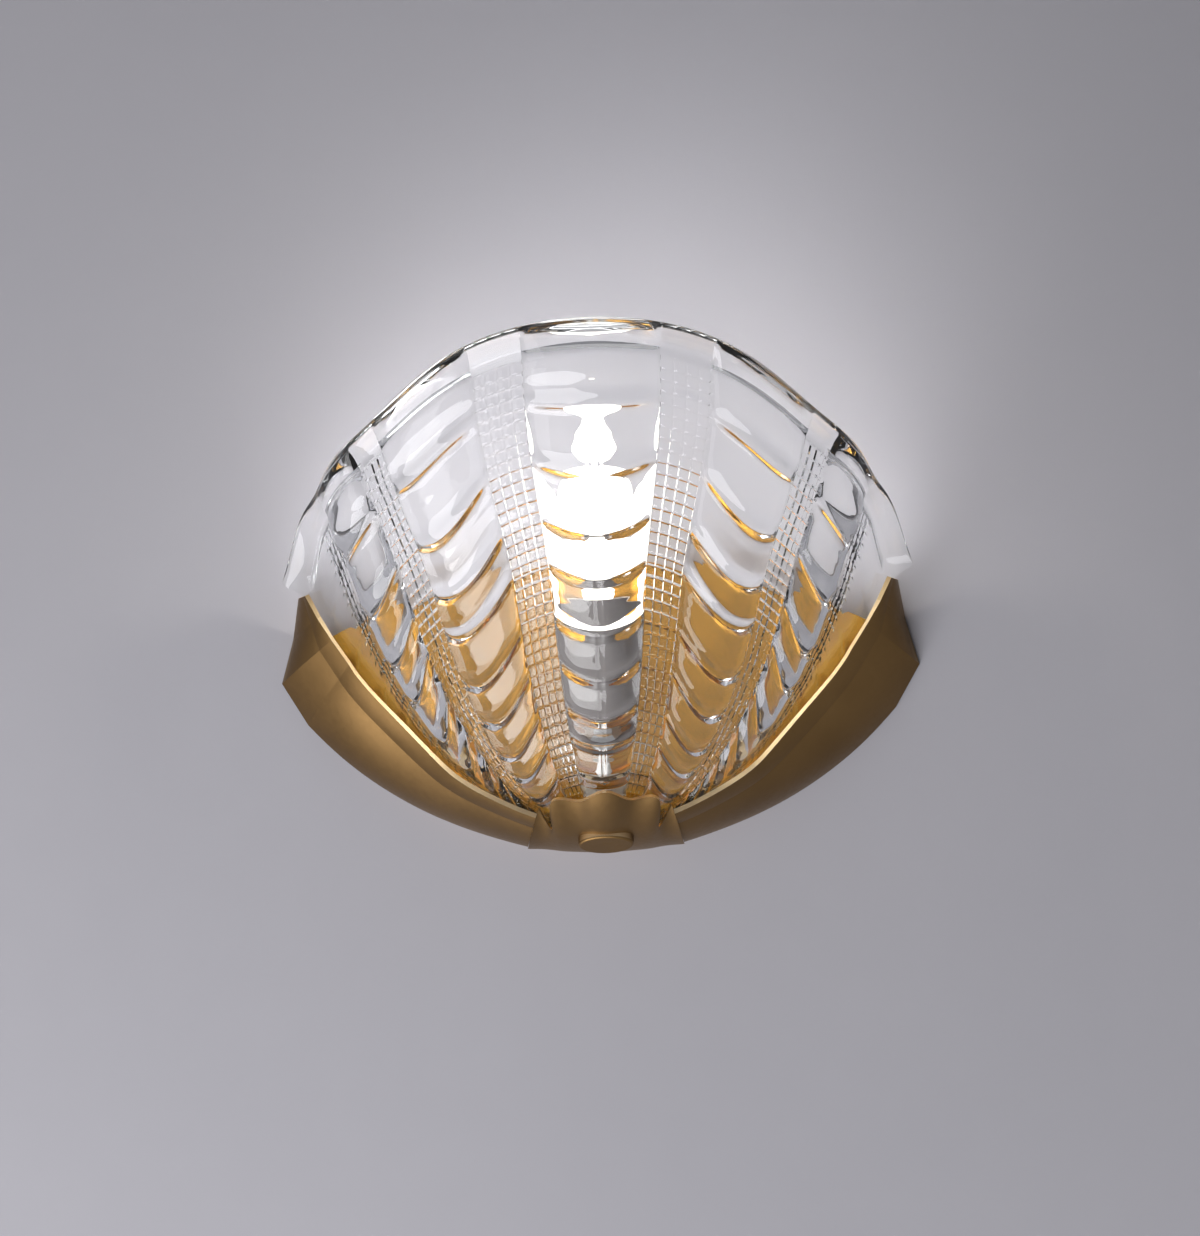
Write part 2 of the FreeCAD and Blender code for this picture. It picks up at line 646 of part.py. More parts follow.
def bracket_studs():
    studs = []
    for side in (-1.0, 1.0):
        x = side * STUD_SPACING / 2.0
        studs.append(cyl(STUD_R, at(x, 0.2, STUD_LEVEL), at(x, PAN_DEPTH + NUT_HEIGHT, STUD_LEVEL)))
    return Part.makeCompound(studs)


def cap_nuts():
    """Domed nuts that hold the pan to the bracket's studs."""
    nuts = []
    for side in (-1.0, 1.0):
        x = side * STUD_SPACING / 2.0
        base = at(x, PAN_DEPTH, STUD_LEVEL)
        nut = hexagon(NUT_FLATS, base, NUT_HEIGHT, V(0, -1, 0))
        dome = Part.makeSphere(DOME_R, base + V(0, -NUT_HEIGHT, 0))
        dome = dome.common(block(x - 5, x + 5, PAN_DEPTH + NUT_HEIGHT, PAN_DEPTH + 12.0, STUD_LEVEL - 5, STUD_LEVEL + 5))
        nut = nut.fuse(dome).removeSplitter()
        nuts.append(nut.cut(cyl(STUD_R + FIT, base + V(0, 1, 0), base + V(0, -NUT_HEIGHT - 0.2, 0))))
    return Part.makeCompound(nuts)


# ---- terminal block --------------------------------------------------------------------------------------
POLE_PITCH = 9.0
BLOCK_LEVELS = (STUD_LEVEL - 8.0, STUD_LEVEL + 8.0)
BLOCK_DEPTHS = (BRACKET_SHEET, BRACKET_SHEET + 9.0)
WIRE_DEPTH = 6.6
POLE_R = 2.4


def pole_positions():
    return (-POLE_PITCH, POLE_PITCH)


def terminal_block():
    """Two-pole block: a clamping tube's bore and two screw wells for each pole."""
    half = POLE_PITCH + 4.8
    body = block(-half, half, BLOCK_DEPTHS[0], BLOCK_DEPTHS[1], BLOCK_LEVELS[0], BLOCK_LEVELS[1])
    body = body.makeFillet(1.0, [e for e in body.Edges if abs(e.tangentAt(0).y) > 0.9])
    for x in pole_positions():
        body = body.cut(cyl(POLE_R + FIT, at(x, WIRE_DEPTH, BLOCK_LEVELS[0] - 1), at(x, WIRE_DEPTH, BLOCK_LEVELS[1] + 1)))
        for level in (STUD_LEVEL - 4.0, STUD_LEVEL + 4.0):
            body = body.cut(cyl(1.9, at(x, WIRE_DEPTH, level), at(x, 12.0, level)))
    low = at(0.0, 0.0, STUD_LEVEL)
    body = body.cut(cyl(BLOCK_SCREW_R + 0.2, low, low + V(0, -12, 0)))
    return body.cut(cyl(3.2, low + V(0, -8.0, 0), low + V(0, -12, 0)))


def terminal_tubes():
    """Brass clamping tubes in the block, with tapped holes for their screws."""
    tubes = []
    for x in pole_positions():
        one = tube(POLE_R, 1.5, at(x, WIRE_DEPTH, BLOCK_LEVELS[0] + 1.0), at(x, WIRE_DEPTH, BLOCK_LEVELS[1] - 1.0))
        for level in (STUD_LEVEL - 4.0, STUD_LEVEL + 4.0):
            one = one.cut(cyl(1.25 + FIT, at(x, WIRE_DEPTH, level), at(x, 12.0, level)))
        tubes.append(one)
    return Part.makeCompound(tubes)


def terminal_screws():
    screws = []
    for x in pole_positions():
        for level in (STUD_LEVEL - 4.0, STUD_LEVEL + 4.0):
            tip = at(x, WIRE_DEPTH + CORE_R + 0.1, level)
            shank = cyl(1.25, tip, at(x, WIRE_DEPTH + 2.6, level))
            head = cyl(1.7, at(x, WIRE_DEPTH + 2.6, level), at(x, WIRE_DEPTH + 4.2, level))
            screws.append(shank.fuse(head).removeSplitter())
    return Part.makeCompound(screws)


def block_screw():
    low = at(0.0, 0.2, STUD_LEVEL)
    shank = cyl(BLOCK_SCREW_R, low, at(0.0, 8.0, STUD_LEVEL))
    return shank.fuse(cyl(2.8, at(0.0, 8.0, STUD_LEVEL), at(0.0, 9.8, STUD_LEVEL))).removeSplitter()


def earth_screw():
    """Earth terminal: a screw with its washer on the bracket."""
    low = at(-EARTH_X, 0.2, EARTH_LEVEL)
    shank = cyl(EARTH_R, low, at(-EARTH_X, 4.6, EARTH_LEVEL))
    head = cyl(3.6, at(-EARTH_X, 4.6, EARTH_LEVEL), at(-EARTH_X, 7.2, EARTH_LEVEL))
    screw = shank.fuse(head).removeSplitter()
    washer = tube(4.2, EARTH_R + FIT, at(-EARTH_X, BRACKET_SHEET, EARTH_LEVEL), at(-EARTH_X, BRACKET_SHEET + 0.8, EARTH_LEVEL))
    return Part.makeCompound([screw, washer])


# ---- lampholder ------------------------------------------------------------------------------------------
STRIP_HALF = 13.0
STRIP_TURN = 16.0          # height of the strip's foot on the pan


def holder_strip():
    """Bent brass strip: a foot on the pan's front and a shelf that carries the lampholder."""
    foot = block(-STRIP_HALF, STRIP_HALF, PAN_DEPTH, PAN_DEPTH + STRIP_THICK, STRIP_LEVEL, STRIP_LEVEL + STRIP_TURN)
    shelf = block(-STRIP_HALF, STRIP_HALF, PAN_DEPTH, LAMP_DEPTH, STRIP_LEVEL, STRIP_LEVEL + STRIP_THICK)
    end = cyl(STRIP_HALF, at(0.0, LAMP_DEPTH, STRIP_LEVEL), at(0.0, LAMP_DEPTH, STRIP_LEVEL + STRIP_THICK))
    strip = foot.fuse(shelf).fuse(end).removeSplitter()
    strip = strip.cut(cyl(NIPPLE_R + FIT, at(0.0, LAMP_DEPTH, STRIP_LEVEL - 1), at(0.0, LAMP_DEPTH, STRIP_LEVEL + 4)))
    for side in (-1.0, 1.0):
        x = side * STRIP_SCREW_X
        strip = strip.cut(cyl(STRIP_SCREW_R + FIT, at(x, 5.0, STRIP_SCREW_LEVEL), at(x, 20.0, STRIP_SCREW_LEVEL)))
    return strip


def strip_screws():
    """Two screws with nuts behind the pan hold the strip."""
    parts = []
    for side in (-1.0, 1.0):
        x = side * STRIP_SCREW_X
        front = at(x, PAN_DEPTH + STRIP_THICK, STRIP_SCREW_LEVEL)
        head = cyl(2.8, front, front + V(0, -2.0, 0))
        shank = cyl(STRIP_SCREW_R, front, at(x, PAN_DEPTH - SHEET - 0.1, STRIP_SCREW_LEVEL))
        parts.append(head.fuse(shank).removeSplitter())
    return Part.makeCompound(parts)


def lamp_axis(level):
    return at(0.0, LAMP_DEPTH, level)


NIPPLE_BORE = 3.6
NIPPLE_BOTTOM = STRIP_LEVEL - 5.5
NIPPLE_TOP = HOLDER_BOTTOM + 8.0
NUT_THICK = 3.0


def holder_nipple():
    return tube(NIPPLE_R, NIPPLE_BORE, lamp_axis(NIPPLE_BOTTOM), lamp_axis(NIPPLE_TOP))


def holder_nuts():
    """One nut under the strip and one above it."""
    nuts = []
    for base in (STRIP_LEVEL - NUT_THICK, STRIP_LEVEL + STRIP_THICK):
        nut = hexagon(14.0, lamp_axis(base), NUT_THICK, V(0, 0, 1))
        nuts.append(nut.cut(cyl(NIPPLE_R + FIT, lamp_axis(base - 1), lamp_axis(base + NUT_THICK + 1))))
    return Part.makeCompound(nuts)


BASE_HEIGHT = 16.0
CUP_WALL = 2.2
CAP_BOTTOM = HOLDER_BOTTOM + 30.0   # underside of the bulb's contact
HOLDER_TOP = HOLDER_BOTTOM + HOLDER_HEIGHT


def holder_base():
    """The lampholder's lower cup, clamped on the nipple."""
    seat = STRIP_LEVEL + STRIP_THICK + NUT_THICK
    cup = cyl(HOLDER_R, lamp_axis(HOLDER_BOTTOM), lamp_axis(HOLDER_BOTTOM + BASE_HEIGHT))
    neck = Part.makeCone(8.0, HOLDER_R, HOLDER_BOTTOM - seat, lamp_axis(seat), V(0, 0, 1))
    room = cyl(HOLDER_R - CUP_WALL, lamp_axis(HOLDER_BOTTOM + 3.0), lamp_axis(HOLDER_BOTTOM + BASE_HEIGHT + 1))
    bore = cyl(NIPPLE_R + FIT, lamp_axis(seat - 1), lamp_axis(HOLDER_BOTTOM + 5))
    return cup.fuse(neck).removeSplitter().cut(room).cut(bore)


def holder_body():
    """The lampholder's upper body: a thick floor with the contacts and a tall sleeve round the screw shell."""
    low = HOLDER_BOTTOM + BASE_HEIGHT
    outer = cyl(HOLDER_R, lamp_axis(low), lamp_axis(HOLDER_TOP))
    floor = cyl(HOLDER_R - CUP_WALL - FIT, lamp_axis(low - 4.0), lamp_axis(low))
    body = outer.fuse(floor).removeSplitter()
    room = cyl(SCREW_SHELL_R + 0.5 + FIT, lamp_axis(CAP_BOTTOM - 1.4), lamp_axis(HOLDER_TOP + 1))
    body = body.cut(room)
    wide = cyl(HOLDER_R - CUP_WALL, lamp_axis(HOLDER_TOP - 14.0), lamp_axis(HOLDER_TOP + 1))
    body = body.cut(wide)
    for side in (-1.0, 1.0):
        x = side * CORE_HOLE_X
        body = body.cut(cyl(CORE_R + 0.15, at(x, LAMP_DEPTH, low - 5.0), at(x, LAMP_DEPTH, low + 2.2)))
    return body.cut(cyl(1.6 + FIT, lamp_axis(CAP_BOTTOM - 4.6), lamp_axis(CAP_BOTTOM)))


CORE_HOLE_X = 2.6


def screw_shell():
    """Threaded brass shell that takes the bulb's cap, drawn as its mean cylinder, with a turned-in foot."""
    top = CAP_BOTTOM + 21.0
    wall = tube(SCREW_SHELL_R + 0.5, SCREW_SHELL_R, lamp_axis(CAP_BOTTOM - 1.4), lamp_axis(top))
    for k in range(5):
        level = CAP_BOTTOM + 5.0 + 2.82 * k
        bead = tube(SCREW_SHELL_R + 0.5, SCREW_SHELL_R - 0.15, lamp_axis(level), lamp_axis(level + 0.9))
        wall = wall.fuse(bead)
    foot = tube(SCREW_SHELL_R, 4.6, lamp_axis(CAP_BOTTOM - 1.4), lamp_axis(CAP_BOTTOM - 0.9))
    return wall.fuse(foot).removeSplitter()


def contact_strip():
    """Sprung centre contact under the bulb."""
    return cyl(2.6, lamp_axis(CAP_BOTTOM - 1.4), lamp_axis(CAP_BOTTOM)).fuse(
        cyl(1.6, lamp_axis(CAP_BOTTOM - 4.4), lamp_axis(CAP_BOTTOM - 1.4))).removeSplitter()


# ---- bulb ------------------------------------------------------------------------------------------------
CAP_HEIGHT = 22.0
BULB_WALL = 0.9


def revolve(points, curve):
    """A solid of revolution about the lamp's axis from (radius, level) points; curve joins them smoothly."""
    pts = [at(r, LAMP_DEPTH, z) for r, z in points]
    if curve:
        line = Part.BSplineCurve()
        line.interpolate(pts)
        side = line.toShape()
    else:
        side = Part.makePolygon(pts)
    low = at(0.0, LAMP_DEPTH, points[0][1])
    high = at(0.0, LAMP_DEPTH, points[-1][1])
    edges = list(side.Edges)
    if points[-1][0] > 0:
        edges.append(Part.makeLine(pts[-1], high))
    edges.append(Part.makeLine(high, low))
    if points[0][0] > 0:
        edges.append(Part.makeLine(low, pts[0]))
    face = Part.Face(Part.Wire(Part.__sortEdges__(edges)))
    return face.revolve(lamp_axis(0.0), V(0, 0, 1), 360)


def candle_profile(inset):
    """Candle bulb outline above the cap, as (radius, level)."""
    base = CAP_BOTTOM + CAP_HEIGHT
    height = BULB_LENGTH - CAP_HEIGHT
    table = ((0.0, 0.36), (0.10, 0.46), (0.25, 0.79), (0.42, 1.0), (0.60, 0.90), (0.78, 0.60), (0.92, 0.28), (1.0, 0.06))
    return [(max(BULB_R * r - inset, 0.3), base + height * u - (inset if u > 0.95 else 0.0)) for u, r in table]


def bulb_envelope():
    """Clear candle envelope: a thin shell, open at the cap."""
    outer = revolve(candle_profile(0.0), True)
    inner = revolve(candle_profile(BULB_WALL), True)
    return outer.cut(inner)


def bulb_cap():
    """Nickel screw cap with rounded thread ridges, closed by its insulator below."""
    z = CAP_BOTTOM
    wall = [(3.6, z + 1.6), (CAP_R - 0.6, z + 4.0)]
    for k in range(5):
        low = z + 4.6 + 2.82 * k
        wall += [(CAP_R - 0.35, low), (CAP_R, low + 0.7), (CAP_R, low + 1.5), (CAP_R - 0.35, low + 2.2)]
    wall += [(CAP_R - 0.2, z + CAP_HEIGHT - 1.0), (CAP_R - 0.2, z + CAP_HEIGHT)]
    body = revolve(wall, False)
    room = cyl(CAP_R - 1.0, lamp_axis(z + 4.2), lamp_axis(z + CAP_HEIGHT + 1))
    return body.cut(room)


def bulb_insulator():
    return Part.makeCone(2.2, 3.6, 1.0, lamp_axis(CAP_BOTTOM + 0.6), V(0, 0, 1))


def bulb_contact():
    return Part.makeCone(1.8, 2.2, 0.6, lamp_axis(CAP_BOTTOM), V(0, 0, 1))


FILAMENT_COUNT = 4
FILAMENT_R = 1.0
STEM_TOP = CAP_BOTTOM + CAP_HEIGHT + 14.0
FILAMENT_TOP = CAP_BOTTOM + CAP_HEIGHT + 58.0
DISC_R = 4.6
FILAMENT_RING = 3.3


def bulb_stem():
    """Glass stem that carries the filaments, standing in the cap."""
    base = CAP_BOTTOM + 4.2
    stem = Part.makeCone(4.2, 1.6, STEM_TOP - base, lamp_axis(base), V(0, 0, 1))
    rod = cyl(0.8, lamp_axis(STEM_TOP - 1.0), lamp_axis(FILAMENT_TOP))
    low = cyl(DISC_R, lamp_axis(STEM_TOP - 1.0), lamp_axis(STEM_TOP))
    high = cyl(DISC_R, lamp_axis(FILAMENT_TOP - 1.0), lamp_axis(FILAMENT_TOP))
    return stem.fuse(rod).fuse(low).fuse(high).removeSplitter()


def bulb_filaments():
    """Straight glowing sticks between the stem's two discs."""
    sticks = []
    for k in range(FILAMENT_COUNT):
        a = math.radians(45.0 + 360.0 * k / FILAMENT_COUNT)
        aside = V(FILAMENT_RING * math.cos(a), FILAMENT_RING * math.sin(a), 0)
        sticks.append(cyl(FILAMENT_R, lamp_axis(STEM_TOP) + aside, lamp_axis(FILAMENT_TOP - 1.0) + aside))
    return Part.makeCompound(sticks)


# ---- leads -----------------------------------------------------------------------------------------------
def route(points, radii):
    """Straight runs through points, joined by tangent arcs."""
    edges = []
    start = points[0]
    for a, b, c, radius in zip(points, points[1:], points[2:], radii):
        u = (a - b)
        v = (c - b)
        u.normalize()
        v.normalize()
        angle = math.acos(max(-1.0, min(1.0, u.dot(v))))
        cut = radius / math.tan(angle / 2.0)
        p = b + u * cut
        q = b + v * cut
        mid = u + v
        mid.normalize()
        centre = b + mid * (radius / math.sin(angle / 2.0))
        edges.append(Part.makeLine(start, p))
        edges.append(Part.Arc(p, centre - mid * radius, q).toShape())
        start = q
    edges.append(Part.makeLine(start, points[-1]))
    return Part.Wire(edges)


def pipe(wire, radius):
    first = wire.Edges[0]
    ring_wire = Part.Wire(Part.makeCircle(radius, first.valueAt(first.FirstParameter), first.tangentAt(first.FirstParameter)))
    solid = wire.makePipeShell([ring_wire], True, False)
    length = sum(e.Length for e in wire.Edges)
    print("   lead length", round(length, 1), "volume ratio", round(solid.Volume / (math.pi * radius ** 2 * length), 4))
    return solid


def lead_sleeve():
    """Flexible sleeve from the nipple down and back through the pan's grommet."""
    line = route([lamp_axis(NIPPLE_BOTTOM + 4.0), lamp_axis(LEAD_LEVEL), at(0.0, SLEEVE_END, LEAD_LEVEL)], [LEAD_BEND])
    return pipe(line, SLEEVE_R).cut(pipe(line, SLEEVE_BORE))


SLEEVE_END = PAN_DEPTH - SHEET - 0.6


def lamp_leads():
    """Two cores from the lampholder, through the sleeve, to the terminal block."""
    cores = []
    for side in (-1.0, 1.0):
        x = side * CORE_SPREAD
        end_x = side * POLE_PITCH
        hole_x = side * CORE_HOLE_X
        points = [at(hole_x, LAMP_DEPTH, HOLDER_BOTTOM + BASE_HEIGHT + 2.0)]
        points.append(at(hole_x, LAMP_DEPTH, STRIP_LEVEL + 10.0))
        points.append(at(x, LAMP_DEPTH, STRIP_LEVEL + 2.0))
        points.append(at(x, LAMP_DEPTH, LEAD_LEVEL))
        points.append(at(x, WIRE_DEPTH, LEAD_LEVEL))
        points.append(at(end_x, WIRE_DEPTH, BLOCK_LEVELS[0] - 7.0))
        points.append(at(end_x, WIRE_DEPTH, STUD_LEVEL + 1.0))
        line = route(points, [CORE_BEND, CORE_BEND, LEAD_BEND, CORE_BEND, CORE_BEND])
        cores.append(pipe(line, CORE_R))
    return Part.makeCompound(cores)


GROMMET_FLANGE_R = 6.5
GROMMET_FLANGE = 1.2


def lead_grommet():
    """Soft ring in the pan's hole, with a flange on each side."""
    def hub(depth):
        return at(0.0, depth, LEAD_LEVEL)
    neck = cyl(GROMMET_NECK_R - FIT, hub(PAN_DEPTH - SHEET), hub(PAN_DEPTH))
    front = cyl(GROMMET_FLANGE_R, hub(PAN_DEPTH), hub(PAN_DEPTH + GROMMET_FLANGE))
    behind = cyl(GROMMET_FLANGE_R, hub(PAN_DEPTH - SHEET - GROMMET_FLANGE), hub(PAN_DEPTH - SHEET))
    body = neck.fuse(front).fuse(behind).removeSplitter()
    return body.cut(cyl(SLEEVE_R + FIT, hub(5.0), hub(20.0)))


glass, glass_back = glass_shell()
left = arm(-1.0)
right = arm(1.0)
clasp = front_clasp()
PARTS = (
    ("wall_bracket", wall_bracket()),
    ("bracket_studs", bracket_studs()),
    ("cap_nuts", cap_nuts()),
    ("back_plate", back_plate()),
    ("left_arm", left),
    ("right_arm", right),
    ("arm_screws", arm_screws()),
    ("front_clasp", clasp),
    ("clasp_screw", clasp_screw()),
    ("clasp_pad", clasp_pad()),
    ("edge_gasket", edge_gasket(glass_back)),
    ("terminal_block", terminal_block()),
    ("terminal_tubes", terminal_tubes()),
    ("terminal_screws", terminal_screws()),
    ("block_screw", block_screw()),
    ("earth_screw", earth_screw()),
    ("holder_strip", holder_strip()),
    ("strip_screws", strip_screws()),
    ("holder_nipple", holder_nipple()),
    ("holder_nuts", holder_nuts()),
    ("holder_base", holder_base()),
    ("holder_body", holder_body()),
    ("holder_screw_shell", screw_shell()),
    ("holder_contact", contact_strip()),
    ("lead_grommet", lead_grommet()),
    ("lead_sleeve", lead_sleeve()),
    ("lamp_leads", lamp_leads()),
    ("glass_shell", glass),
    ("bulb_envelope", bulb_envelope()),
    ("bulb_cap", bulb_cap()),
    ("bulb_insulator", bulb_insulator()),
    ("bulb_contact", bulb_contact()),
    ("bulb_stem", bulb_stem()),
    ("bulb_filaments", bulb_filaments()),
)
for name, shape in PARTS:
    save(shape, name)
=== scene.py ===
# %% [markdown]
# # A shell wall sconce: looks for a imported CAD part
#
# The CAD part gives every piece its place and size. This script makes what a photograph shows of it:
#
# 1. the pressed glass shell with its flutes, hanging tiers, square-celled strips and rings, as one formula surface;
# 2. satin and polished brass, white plastic, nickel and silicone, as node materials with a shared group for clouds
#    and grain;
# 3. the lit bulb, the wall behind it, the lamps and the camera.
#
# Lengths in the formulas are millimetres; `MM` turns them into metres at the end.

# %%
import bmesh
import bpy
import json
import math
import numpy as np
from mathutils import Matrix, Vector


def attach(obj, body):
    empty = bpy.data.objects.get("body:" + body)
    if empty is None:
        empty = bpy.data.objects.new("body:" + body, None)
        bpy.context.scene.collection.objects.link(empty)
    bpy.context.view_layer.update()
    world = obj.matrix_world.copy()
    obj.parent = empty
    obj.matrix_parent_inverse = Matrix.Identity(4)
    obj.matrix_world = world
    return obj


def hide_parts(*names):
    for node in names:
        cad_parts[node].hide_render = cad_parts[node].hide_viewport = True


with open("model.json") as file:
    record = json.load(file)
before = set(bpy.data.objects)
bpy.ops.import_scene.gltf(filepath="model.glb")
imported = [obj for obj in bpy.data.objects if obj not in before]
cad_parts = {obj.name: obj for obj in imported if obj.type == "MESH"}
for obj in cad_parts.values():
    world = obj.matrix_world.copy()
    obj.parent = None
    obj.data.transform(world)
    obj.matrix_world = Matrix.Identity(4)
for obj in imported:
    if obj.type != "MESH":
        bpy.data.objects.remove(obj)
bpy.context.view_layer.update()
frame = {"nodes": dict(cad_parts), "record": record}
MM = 0.001

# %% [markdown]
# ## The shell's formulas
#
# The real shell is one pressed piece of clear glass. It could be modelled by hand as a subdivided bowl, but its
# pattern repeats so regularly that formulas give it with less work and in exact places.
#
# The shell is half of a bowl with an elliptical plan. At a height z above its lowest level the bowl has the share
# `girth = sqrt(1 - (1 - z/262)^2)` of its full half width (148 mm) and depth (108 mm): a quarter ellipse on its end.
# Around the bowl an angle runs from -90 to 90 degrees, from wall to wall. Five flutes of 20 degrees stand out of it,
# with flat strips of 8 degrees between them. Past 64 degrees a skirt flares out towards the wall.

# %%
HALF_WIDTH, DEPTH, HEIGHT = 148.0, 108.0, 262.0
BACK, LOWEST = 17.3, 62.0
FLUTE, STRIP = 20.0, 8.0
PITCH = FLUTE + STRIP
FLUTE_RISE, SKIRT, SKIRT_START = 8.0, 22.0, 64.0
LEAN, LEAN_FROM, LEAN_TO = 7.0, 0.45, 0.80


def girth(z):
    """sqrt(1 - (1 - z/H)^2), 0 below the lowest level."""
    return np.sqrt(np.clip(1.0 - (1.0 - np.clip(z, 0.0, None) / HEIGHT) ** 2, 0.0, 1.0))


def smooth(x, a, b):
    """0 below a, 1 above b, 3t^2 - 2t^3 between."""
    t = np.clip((x - a) / (b - a), 0.0, 1.0)
    return t * t * (3.0 - 2.0 * t)


def flute_place(deg):
    """-1..1 across the flute that holds the angle, and beyond 1 on the strips."""
    k = np.clip(np.round(deg / PITCH), -2, 2)
    return (deg - k * PITCH) / (FLUTE / 2.0)


def arch(deg):
    """Round section of a flute: sqrt(1 - u^2) inside it, 0 outside."""
    u = flute_place(deg)
    return np.sqrt(np.clip(1.0 - u * u, 0.0, 1.0))


print("the bowl has", round(float(girth(100.0)), 3), "of its width at 100 mm")

# %% [markdown]
# ## Plan and rim
#
# The flutes lean away from the middle as they rise: an angle a has become `a + 7 sin(2a)` at the top.
# The rim rises 1.02 mm for each mm away from the wall, dips by 7.5 mm on its shoulders (about 37 degrees from the
# middle) and lifts by 5.5 mm on its skirts (about 76 degrees), both as bell curves `exp(-((a - centre) / width)^2)`.
# The rim's height depends on the depth there, and the depth on the height, so a short iteration finds it.

# %%
RIM_LOW, RIM_SLOPE, RIM_THICK, WALL = 129.0, 1.02, 5.0, 4.0
RIM_LIFT, LIFT_AT, LIFT_WIDTH = 5.5, 76.0, 9.0
RIM_DIP, DIP_AT, DIP_WIDTH = 7.5, 37.0, 15.0
FIRST_GUESS, GUESSES = 200.0, 60


def rim_wave(deg):
    """Lift on the skirts minus dip on the shoulders."""
    lift = RIM_LIFT * np.exp(-((np.abs(deg) - LIFT_AT) / LIFT_WIDTH) ** 2)
    return lift - RIM_DIP * np.exp(-((np.abs(deg) - DIP_AT) / DIP_WIDTH) ** 2)


def plan(deg, z, rise, offset):
    """Side and depth of the bowl at an angle and a height: ellipse + flute + offset, all along the plan's normal."""
    phi = np.radians(deg + LEAN * np.sin(np.radians(2.0 * deg)) * smooth(z / HEIGHT, LEAN_FROM, LEAN_TO))
    s = girth(z)
    nx, nd = np.sin(phi) / HALF_WIDTH, np.cos(phi) / DEPTH
    n = np.hypot(nx, nd)
    out = FLUTE_RISE * s * rise * arch(deg) + offset
    flare = (np.clip(np.abs(deg) - SKIRT_START, 0.0, None) / (90.0 - SKIRT_START)) ** 2
    x = HALF_WIDTH * s * np.sin(phi) + out * nx / n + np.sign(deg) * SKIRT * s * flare
    d = BACK + DEPTH * s * np.cos(phi) + out * nd / n
    return x, d


def rim_height(deg, raised):
    """Height where the rim, raised by some mm, crosses the plain bowl: z = low + raised + slope * depth(z) + wave."""
    z = np.full_like(deg, FIRST_GUESS)
    for _ in range(GUESSES):
        depth = plan(deg, z, 0.0, 0.0)[1] - BACK
        z = 0.5 * (z + RIM_LOW + raised + RIM_SLOPE * depth + rim_wave(deg))
    return z


print("rim at the front", round(float(rim_height(np.array([0.0]), 0.0)[0]), 1), "mm above the lowest level")

# %% [markdown]
# ## Where the mesh is fine
#
# The strips carry square cells with thin grooves between them, four across (2 degrees each) and 44 from foot to rim.
# An even mesh would need far more faces, so rows and columns crowd at the grooves, where a groove gets its own thin
# faces, and on the steep face at the upper end of each tier.

# %%
CELLS, CELLS_ACROSS, CELL_DEG = 44, 4, 2.0
IN_CELL = np.array([0.0, 0.07, 0.14, 0.30, 0.70, 0.86, 0.93])
GROOVE_COLUMNS = IN_CELL[[0, 1, 2, 5, 6]]
TIER_ROWS = np.array([0, 4, 7, 10, 13, 17, 21, 26, 30, 35, 40, 44])
TIER_SHIFT, FACE = 0.65, 0.85
ON_FACE = np.array([1.0, 0.8, 0.6, 0.4, 0.2, 0.0])
SKIRT_STRIP, SKIRT_COLUMNS, FLUTE_COLUMNS = 74.0, 8, 15
SEAM_COLUMNS = np.array([-1.3, -1.0, -0.7, -0.4, 0.4, 0.7, 1.0, 1.3])

cell_rows = (np.arange(CELLS)[:, None] + IN_CELL[None, :]).ravel()
face_rows = (TIER_ROWS[1:-1, None] - TIER_SHIFT - FACE * ON_FACE[None, :]).ravel()
t_out = np.unique(np.append(np.concatenate([cell_rows, face_rows]), CELLS)) / CELLS
t_out = t_out[np.append(True, np.diff(t_out) > 0.02 / CELLS)]

columns = [np.linspace(-90.0, -SKIRT_STRIP, SKIRT_COLUMNS), np.linspace(SKIRT_STRIP, 90.0, SKIRT_COLUMNS)]
for strip_start in PITCH * np.arange(-3, 3) + FLUTE / 2.0:
    across = strip_start + CELL_DEG * (np.arange(CELLS_ACROSS)[:, None] + GROOVE_COLUMNS[None, :])
    columns.append(across.ravel())
for mid in PITCH * np.arange(-2, 3):
    columns.append(mid + FLUTE / 2.0 * np.sin(np.radians(np.linspace(-90.0, 90.0, FLUTE_COLUMNS))))
columns.append(SEAM_COLUMNS)
columns = np.unique(np.round(np.concatenate(columns), 3))
columns = columns[np.append(True, np.diff(columns) > 0.05)]
print("columns", len(columns), "rows", len(t_out))

# %% [markdown]
# ## Rows and tiers
#
# Rows follow the rim: row `t` (0 at the foot, 1 at the rim) lies at
# `z = floor + (z_rim - floor) * t^(1 + 0.9 (1 - cos angle))`, and inside a flute it hangs by up to 11 mm.
# On the real shell each tier hangs over the next like a fold of cloth. Its upper end is a steep face that looks up;
# through it one sees the brass below, as a gold crescent. The inside swells with the tiers, which bends the light more.

# %%
HANG, TIER_HEIGHT, TIER_SET_IN, INNER_SWELL = 11.0, 2.9, 1.6, 1.9
ROLL, SAG = 1.3, 0.2


def row_height(deg, t, floor):
    """Height of row t: floor + (rim - floor) * t^(1 + 0.9 (1 - cos)), less the hang times arch^2."""
    base = rim_height(deg, -RIM_THICK)
    z = floor + (base - floor) * t ** (1.0 + 0.9 * (1.0 - np.cos(np.radians(deg))))
    hang = HANG * np.clip(4.0 * (1.0 - t), 0.0, 1.0) * np.clip(3.0 * t, 0.0, 1.0)
    return z - hang * arch(deg) ** 2


